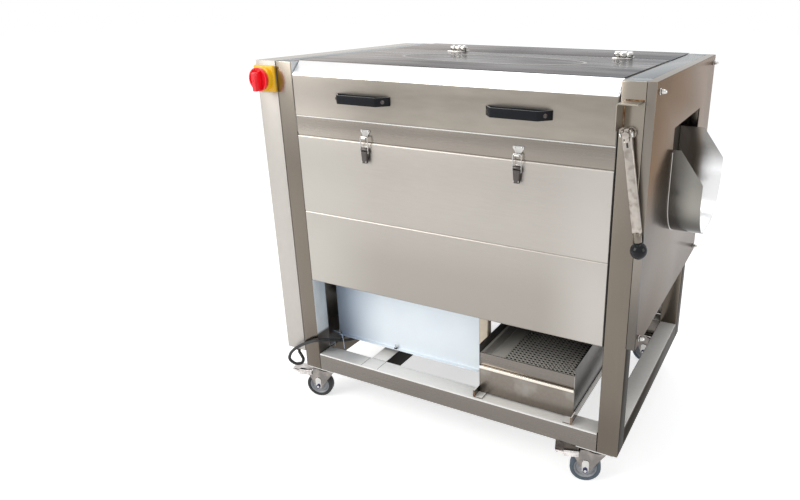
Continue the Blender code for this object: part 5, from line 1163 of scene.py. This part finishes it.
changed(funnel, "SOLIDIFY", thickness=0.0015, offset=-1)
piece("hopper_funnel", [funnel], hopper_steel, "frame", "matt_stainless", "hopper")


# Two 4 mm plates close the trough's ends inside the rings. Each of the nine shafts runs in a
# flanged ball bearing that is bolted on outside.
plate_steel = finish_of("plate_steel", (0.36, 0.34, 0.32), 0.34, 1.0, grain=(300, 300, 9), vary=0.12, bump=0.03)
places = [(-0.2, 0.102), *[polar(0.2, angle) for angle in range(180, 361, 30)], (0.2, 0.102)]
roller_axes = [(0, trough_y + a, 0.72291 + b) for a, b in places]
for side, way, face, reach in (("left", -1, x0 + 0.046, 0.0218), ("right", 1, x0 + 0.864, 0.0118)):
    node = f"{side}_bearing_plate"
    low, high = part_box(node)
    inner, outer = sorted((face - way * 0.004, face))
    parts = [bar("plate", (inner, low.y, low.z), (outer, high.y, high.z), 0.0006, 2)]
    cut(parts[0], *[rod("hole", "X", axis, 0.0115, face - 0.01, face + 0.01, 0, 32) for axis in roller_axes])
    if side == "right":
        cut(parts[0], slab("hole", opening_line(face - 0.01, 0.1485, 0.5709, 0.110, 0.8329), (0.02, 0, 0)))
        lug = bar("lug", (face - 0.002, y0 + 0.509, 0.8409), (x0 + 0.899, y0 + 0.515, 0.8689), 0.0012, 2)
        parts.append(cut(lug, rod("eye", "Y", pivot, 0.0073, y0 + 0.50, y0 + 0.52, 0, 28)))
    piece(f"{side}_end_plate", parts, plate_steel, "frame", "matt_stainless", node)
    rings = []
    for axis in roller_axes:
        for radius, length in ((0.0218, 0.006), (0.0175, reach)):
            ring = rod("ring", "X", axis, radius, face - way * 0.0005, face + way * length, 0.0008, 28)
            rings.append(cut(ring, rod("bore", "X", axis, 0.0104, face - 0.03, face + 0.03, 0, 28)))
        for turn in (45, 225):
            centre = Vector(axis) + Vector((0, *polar(0.0190, turn)))
            rings.append(rod("bolt", "X", centre, 0.0032, face + way * 0.0055, face + way * 0.0095, 0.0005, 6))
    piece(f"{side}_bearings", rings, bright_steel, "frame", "matt_stainless")


# Each roller is a 20 mm shaft with a nylon brush wound on a core: bunches of stiff bristle
# in close rows. A plain sprocket sits on its left end, and the middle roller has two.
def again(made, move):
    """Another piece of the same shape, moved or turned from the first."""
    copy = made.copy()
    copy.data = made.data.copy()
    bpy.context.scene.collection.objects.link(copy)
    copy.data.transform(move)
    return copy


def toothed(x, axis):
    """A sprocket disc on an axis along X."""
    outline = []
    for tooth in range(12):
        for share, reach in ((-0.20, 0.0199), (0.20, 0.0199), (0.40, 0.0258), (0.50, 0.0271), (0.60, 0.0258)):
            out, up = polar(reach, (tooth + share) * 30)
            outline.append((x - 0.003, axis[1] + out, axis[2] + up))
    return eased(slab("disc", outline, (0.006, 0, 0)), 0.0004, 1, 50)


bristle_white = finish_of("bristle_white", (0.70, 0.72, 0.68), 0.55, grain=260, vary=0.22, bump=0.1)
core_black = finish_of("core_black", (0.03, 0.032, 0.035), 0.5, grain=200, vary=0.2, bump=0.08)
left, right, ring_count = x0 + 0.058, x0 + 0.852, 66
ring_step = (right - left - 0.012) / (ring_count - 1)
bpy.ops.mesh.primitive_cone_add(vertices=5, radius1=0.0022, radius2=0.0058, depth=0.0170, location=(0, 0, 0.0394))
tuft = added("tuft")
ring = joined([tuft, *[again(tuft, turning(18 * number, "X")) for number in range(1, 20)]])
rings = [ring]
for number in range(1, ring_count):
    turn = turning(9 * (number % 2) + 0.9 * number, "X")
    rings.append(again(ring, Matrix.Translation((ring_step * number, 0, 0)) @ turn))
brush = joined(rings)
brush.data.transform(Matrix.Translation(Vector(roller_axes[0]) + Vector((left + 0.006, 0, 0))))
for number, axis in enumerate(roller_axes, 1):
    node = f"brush_roller_{number}"
    low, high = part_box(node)
    shift = Matrix.Translation(Vector(axis) - Vector(roller_axes[0]))
    bristles = again(brush, shift) if number > 1 else brush
    piece(f"bristles_{number}", [bristles], bristle_white, node, "nylon_bristle", node)
    core = rod("core", "X", axis, 0.0335, left, right, 0.002, 40)
    piece(f"brush_core_{number}", [core], core_black, node, "nylon_bristle")
    parts = [rod("shaft", "X", axis, 0.0099, low.x, high.x, 0.001, 28), toothed(x0 - 0.016, axis)]
    if number == 5:
        parts.append(toothed(x0 - 0.038, axis))
    piece(f"roller_shaft_{number}", parts, plate_steel, node, "machined_steel")


# The forks are pressed from 2.5 mm plated steel: a crown that turns on the race, and two cheeks
# that run down to the axle. A raised boss takes the axle bolt and its blue self-locking nut.
def placed(made, place):
    """Move a caster piece that was drawn round the swivel's axis to its own corner."""
    along, back = caster_places[place]
    turn = turning(18 if place.startswith("front") else 0, "Z")
    made.data.transform(Matrix.Translation((x0 + along, y0 + back, 0)) @ turn)


def both_sides(name, outline, out, thick, width, steps, angle=50):
    """A plate on each side of a caster, cut to an outline, with its edges rounded."""
    made = []
    for way in (-1, 1):
        plate = slab(name, [(a, way * out, b) for a, b in outline], (0, way * thick, 0))
        made.append(eased(plate, width, steps, angle))
    return made


fork_steel = patched("fork_steel", (0.20, 0.185, 0.175), (0.30, 0.27, 0.25), 0.22, (0.45, 0.65), 40.0)
nut_blue = finish_of("nut_blue", (0.03, 0.03, 0.12), 0.35, 0.6, grain=300, vary=0.15, bump=0.03)
axle = Vector((-0.027, 0, 0.0375))
foot = [(axle.x + a, axle.z + b) for a, b in [polar(0.010, angle) for angle in range(-40, -191, -15)]]
rear_edge = ((-0.053, 0.070), (-0.062, 0.074), (-0.062, 0.082), (-0.044, 0.084))
cheek_line = [(-0.040, 0.0915), (0.026, 0.0915), *foot, *rear_edge]
boss_line = []
for first, rise in ((-180, 0), (0, 0.019)):
    for step in range(9):
        out, up = polar(0.0085, first + 22.5 * step)
        boss_line.append((axle.x + out, axle.z + rise + up))
for place in caster_places:
    node = f"caster_fork_{place}"
    parts = [
        rod("crown", "Z", (0, 0, 0), 0.0278, 0.0905, 0.0933, 0.0012, 40),
        bar("bridge", (-0.041, -0.0167, 0.0906), (0.026, 0.0167, 0.0932), 0.0012, 3),
        *both_sides("cheek", cheek_line, 0.0144, 0.0023, 0.0007, 2),
    ]
    placed(piece(f"fork_{place}", parts, fork_steel, node, "polished_stainless", node), place)
    parts = [rod("axle", "Y", axle, 0.0039, -0.0234, 0.0234, 0.0008, 20)]
    parts += both_sides("boss", boss_line, 0.0165, 0.0022, 0.0009, 3)
    placed(piece(f"axle_bosses_{place}", parts, bright_steel, node, "polished_stainless"), place)
    nuts = []
    for way in (-1, 1):
        nut = rod("nut", "Y", axle, 0.0068, way * 0.0186, way * 0.0230, 0.0009, 6)
        nuts.append(cut(nut, rod("bore", "Y", axle, 0.0041, way * 0.0180, way * 0.0240, 0, 20)))
    placed(piece(f"axle_nuts_{place}", nuts, nut_blue, node, "polished_stainless"), place)


# Each wheel is a 75 mm rubber tyre moulded on a light plastic centre with a thin rim and a hub.
# The left pair has black tyres and the right pair blue-grey ones.
def mirrored(line):
    """An outline with its mirror image, closed."""
    return [*line, *[(-a, b) for a, b in reversed(line)], line[0]]


tyre_grey = finish_of("tyre_grey", (0.075, 0.10, 0.13), 0.5, grain=200, vary=0.2, bump=0.06)
centre_grey = finish_of("centre_grey", (0.36, 0.37, 0.39), 0.35, grain=160, vary=0.2, bump=0.04)
tyre_line = mirrored([
    (0.0062, 0.0272), (0.0100, 0.0276), (0.0116, 0.0292), (0.0119, 0.0322),
    (0.0112, 0.0350), (0.0092, 0.0370), (0.0060, 0.03745),
])
centre_line = mirrored([
    (0.0139, 0.0048), (0.0139, 0.0115), (0.0128, 0.0127), (0.0075, 0.0131), (0.0050, 0.0150),
    (0.0050, 0.0225), (0.0078, 0.0240), (0.0098, 0.0262), (0.0098, 0.0274),
])
for place in caster_places:
    node = f"caster_wheel_{place}"
    rubber, slot = (rubber_black, "black_rubber") if place.endswith("left") else (tyre_grey, "grey_rubber")
    tyre = turned("tyre", "Y", axle, tyre_line, 64)
    placed(piece(f"tyre_{place}", [tyre], rubber, node, slot, node), place)
    centre = turned("centre", "Y", axle, centre_line, 48)
    placed(piece(f"wheel_centre_{place}", [centre], centre_grey, node, slot), place)


# The front casters have a brake: a pedal pressed from 2 mm sheet that straddles the fork on a
# pin. Its outer end is turned up for the toe.
pedal_steel = patched("pedal_steel", (0.75, 0.71, 0.69), (0.50, 0.47, 0.46), 0.16, (0.45, 0.6), 60.0)
for place in ("front_left", "front_right"):
    node = f"brake_pedal_{place}"
    line = at_x(-0.0440, (-0.0189, 0.0742), (-0.0189, 0.0873), (0.0189, 0.0873), (0.0189, 0.0742))
    parts = [sheet("channel", line, (-0.036, 0, 0), 0.0018, 1, bend=0.0030)]
    places = ((-0.0795, 0.0866), (-0.0840, 0.0866), (-0.0930, 0.0896), (-0.1010, 0.0900))
    line = [(a, -0.0205, b) for a, b in places]
    parts.append(sheet("tip", line, (0, 0.041, 0), 0.0018, 1, bend=0.003, edge=0.0005))
    inner, outer = (-0.0790, 0.0190), (-0.1000, 0.0200)
    line = [(*inner, 0.0770), (*outer, 0.0840), (-0.1006, 0.0200, 0.0905), (*inner, 0.0868)]
    for way in (-1, 1):
        skirt = slab("skirt", [(a, way * b, c) for a, b, c in line], (0, way * -0.0016, 0))
        parts.append(eased(skirt, 0.0006, 2, 40))
    parts.append(rod("pin", "Y", (-0.056, 0, 0.078), 0.0024, -0.0205, 0.0205, 0.0007, 16))
    placed(piece(f"pedal_{place}", parts, pedal_steel, node, "polished_stainless", node), place)


# The gear motor stands on a base plate across the bottom rails. It has a cast gearbox, a ribbed
# barrel with its terminal cover, and a pressed fan cover at the free end.
motor_paint = finish_of("motor_paint", (0.035, 0.055, 0.085), 0.38, grain=140, vary=0.15, bump=0.12, gloss=0.3)
low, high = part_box("gearmotor")
axis = (0, y0 + 0.235, 0.250)
y, z = axis[1:]
base_z = low.z + 0.0048
box_right, fan_start = x0 + 0.205, high.x - 0.045
barrel_line = [
    (box_right - 0.002, 0.0), (box_right - 0.002, 0.066), (box_right + 0.010, 0.066),
    (box_right + 0.014, 0.060), (fan_start + 0.003, 0.060), (fan_start + 0.003, 0.0),
]
cowl_line = [
    (fan_start, 0.058), (fan_start, 0.0722), (high.x - 0.012, 0.0722),
    (high.x - 0.002, 0.0640), (high.x, 0.052), (high.x, 0.0),
]
boss_line = [(low.x + a, b) for a, b in ((0.002, 0.0), (0.002, 0.05), (0.0001, 0.047), (0.0001, 0.0))]
rib_low = (box_right + 0.008, y - 0.0012, z + 0.058)
rib = bar("rib", rib_low, (fan_start + 0.001, y + 0.0012, z + 0.0695), 0.0009, 1)
pole = Matrix.Translation(axis)
foot_left = box_right + (high.x - box_right) / 4
cover_low, cover_high = (low.x + 0.036, y - 0.0775, 0.205), (box_right - 0.012, y - 0.070, 0.300)
parts = [
    bar("base", low, (high.x, high.y, low.z + 0.005), 0.0012, 2),
    bar("gearbox", (low.x, y - 0.075, base_z), (box_right, y + 0.075, high.z), 0.008, 3),
    turned("barrel", "X", axis, barrel_line, 64),
    turned("cowl", "X", axis, cowl_line, 64),
    rib,
    *[again(rib, pole @ turning(10 * number, "X") @ pole.inverted()) for number in range(1, 36)],
    bar("foot", (foot_left, y - 0.0375, base_z), (fan_start - 0.001, y + 0.0375, z - 0.05), 0.002, 2),
    bar("terminal_cover", cover_low, cover_high, 0.0025, 3),
    turned("bearing_boss", "X", axis, boss_line, 48),
]
piece("motor_body", parts, motor_paint, "frame", "motor_paint", "gearmotor")
screws = []
for x in (low.x + 0.042, box_right - 0.018):
    for screw_z in (0.211, 0.294):
        screws.append(rod("screw", "Y", (x, 0, screw_z), 0.0030, y - 0.0795, y - 0.076, 0.0006, 6))
for x in (low.x + 0.012, high.x - 0.012):
    for bolt_y in (low.y + 0.008, high.y - 0.008):
        screws.append(rod("bolt", "Z", (x, bolt_y, 0), 0.0062, low.z + 0.0045, low.z + 0.0095, 0.0008, 6))
piece("motor_screws", screws, bright_steel, "frame", "machined_steel")
low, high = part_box("motor_sprocket")
shaft = rod("shaft", "X", axis, 0.0124, low.x, high.x, 0.001, 40)
hub = rod("hub", "X", axis, 0.0178, x0 - 0.038, x0 - 0.0262, 0.001, 40)
parts = [shaft, hub, toothed(x0 - 0.038, axis)]
piece("motor_shaft", parts, plate_steel, "motor_sprocket", "machined_steel", "motor_sprocket")
chain_steel = finish_of("chain_steel", (0.16, 0.15, 0.14), 0.38, 1.0, grain=500, vary=0.3, bump=0.2)
for node in ("roller_chain", "drive_chain"):
    chain = bpy.data.objects[node]
    chain.data.materials.clear()
    chain.data.materials.append(chain_steel)


# Black nylon cable glands take the leads in: a hexagonal nut and a domed cap. The lead's two
# ends have one each, and a third serves the supply.
gland_black = finish_of("gland_black", (0.016, 0.016, 0.018), 0.42, grain=250, vary=0.2, bump=0.06)
cover_low, cover_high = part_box("cover_gland")
supply_low, supply_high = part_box("supply_gland")
cap_line = [
    (-0.0070, 0.0), (-0.0070, 0.0080), (-0.0130, 0.0083), (-0.0160, 0.0078),
    (-0.0178, 0.0062), (-0.0178, 0.0044), (-0.0150, 0.0040), (-0.0150, 0.0),
]
for name, axis, centre in (
    ("motor_gland", "Y", (x0 + 0.110, y0 + 0.160, 0.180)),
    ("cover_gland", "Z", (x0 - 0.045, y0 + 0.022, cover_high.z + 0.0003)),
    ("supply_gland", "Z", (x0 - 0.045, supply_low.y + 0.0091, supply_high.z + 0.0003)),
):
    face = centre["XYZ".index(axis)]
    nut = rod("nut", axis, centre, 0.0104, face - 0.0004, face - 0.0078, 0.0008, 6)
    cap = turned("cap", axis, centre, cap_line, 40)
    piece(f"{name}_body", [nut, cap], gland_black, "frame", "black_plastic", name)


# Blue-white cable ties hold the lead to the bottom rail beside the left post, one of them with a
# long tail that was never cut off.
tie_white = finish_of("tie_white", (0.50, 0.60, 0.78), 0.4, grain=200, vary=0.1, bump=0.02)
long_tie = [
    (-0.4281, -0.2485, 0.1915), (-0.402, -0.2555, 0.194), (-0.3831, -0.2635, 0.1947),
    (-0.3754, -0.2685, 0.1818), (-0.3703, -0.2725, 0.1578),
]
short_tie = [
    (-0.4337, -0.2615, 0.1674), (-0.4157, -0.2635, 0.1687),
    (-0.4093, -0.2655, 0.1654), (-0.4066, -0.2685, 0.154),
]
for number, line in enumerate((long_tie, short_tie), 1):
    piece(f"cable_tie_{number}", [wire("tie", line, 0.0009, 8)], tie_white, "frame", "nylon_bristle")


# The spray pipe is a polished tube over the rollers, with a drilled nozzle every 100 mm. It is
# flanged to the plates, and its inlet leaves through the back in a hose union.
pipe_steel = finish_of("pipe_steel", (0.62, 0.60, 0.57), 0.14, 1.0, grain=(40, 300, 300), vary=0.1, bump=0.02)
low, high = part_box("spray_pipe")
y, z = y0 + 0.480, 0.886
inlet = (x0 + 0.200, 0, z)
parts = [rod("pipe", "X", (0, y, z), 0.0089, low.x, high.x, 0, 36)]
for start, end, bolt_start, bolt_end in (
    (low.x, low.x + 0.004, low.x, low.x + 0.0055),
    (high.x - 0.004, high.x, high.x - 0.0048, high.x),
):
    parts.append(rod("flange", "X", (0, y, z), 0.0179, start, end, 0.0008, 36))
    for turn in (90, 210, 330):
        out, up = polar(0.0135, turn)
        parts.append(rod("screw", "X", (0, y + out, z + up), 0.0024, bolt_start, bolt_end, 0.0004, 6))
parts += rods(
    "Y",
    inlet,
    ("inlet", 0.0088, y, high.y, 0.0008, 32),
    ("collar", 0.0125, y - 0.012, y + 0.012, 0.0015, 32),
    ("union", 0.0129, y0 + 0.6774, high.y - 0.002, 0.001, 6),
)
line = [(low.z, 0.0012), (low.z, 0.0030), (low.z + 0.004, 0.0039), (z - 0.004, 0.0039), (z - 0.004, 0.0)]
for number in range(8):
    x = low.x + (high.x - low.x) * (number + 0.5) / 8
    parts.append(turned("nozzle", "Z", (x, y, 0), line, 16))
piece("spray_tube", parts, pipe_steel, "frame", "polished_stainless", "spray_pipe")


# The back is closed by one plain sheet with a row of cap screws down each side, under a square
# tube between the rear posts. The water inlet comes out through a hole near its left end.
low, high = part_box("rear_panel")
back = bar("back", low, high, 0.0004, 1)
cut(back, rod("bore", "Y", inlet, 0.0098, low.y - 0.01, high.y + 0.01, 0, 40))
piece("back_sheet", [back], panel_steel, "frame", "matt_stainless", "rear_panel")
caps = []
for x in (low.x + 0.014, high.x - 0.014):
    for step in range(5):
        z = low.z + 0.030 + (high.z - low.z - 0.060) * step / 4
        caps.append(rod("cap", "Y", (x, 0, z), 0.0048, high.y - 0.0005, high.y + 0.0028, 0.0012, 20))
piece("back_screws", caps, bright_steel, "frame", "polished_stainless")
rail = bar("rail", *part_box("rear_top_rail"))
piece("rear_rail", [rail], rail_steel, "frame", "brushed_stainless", "rear_top_rail")
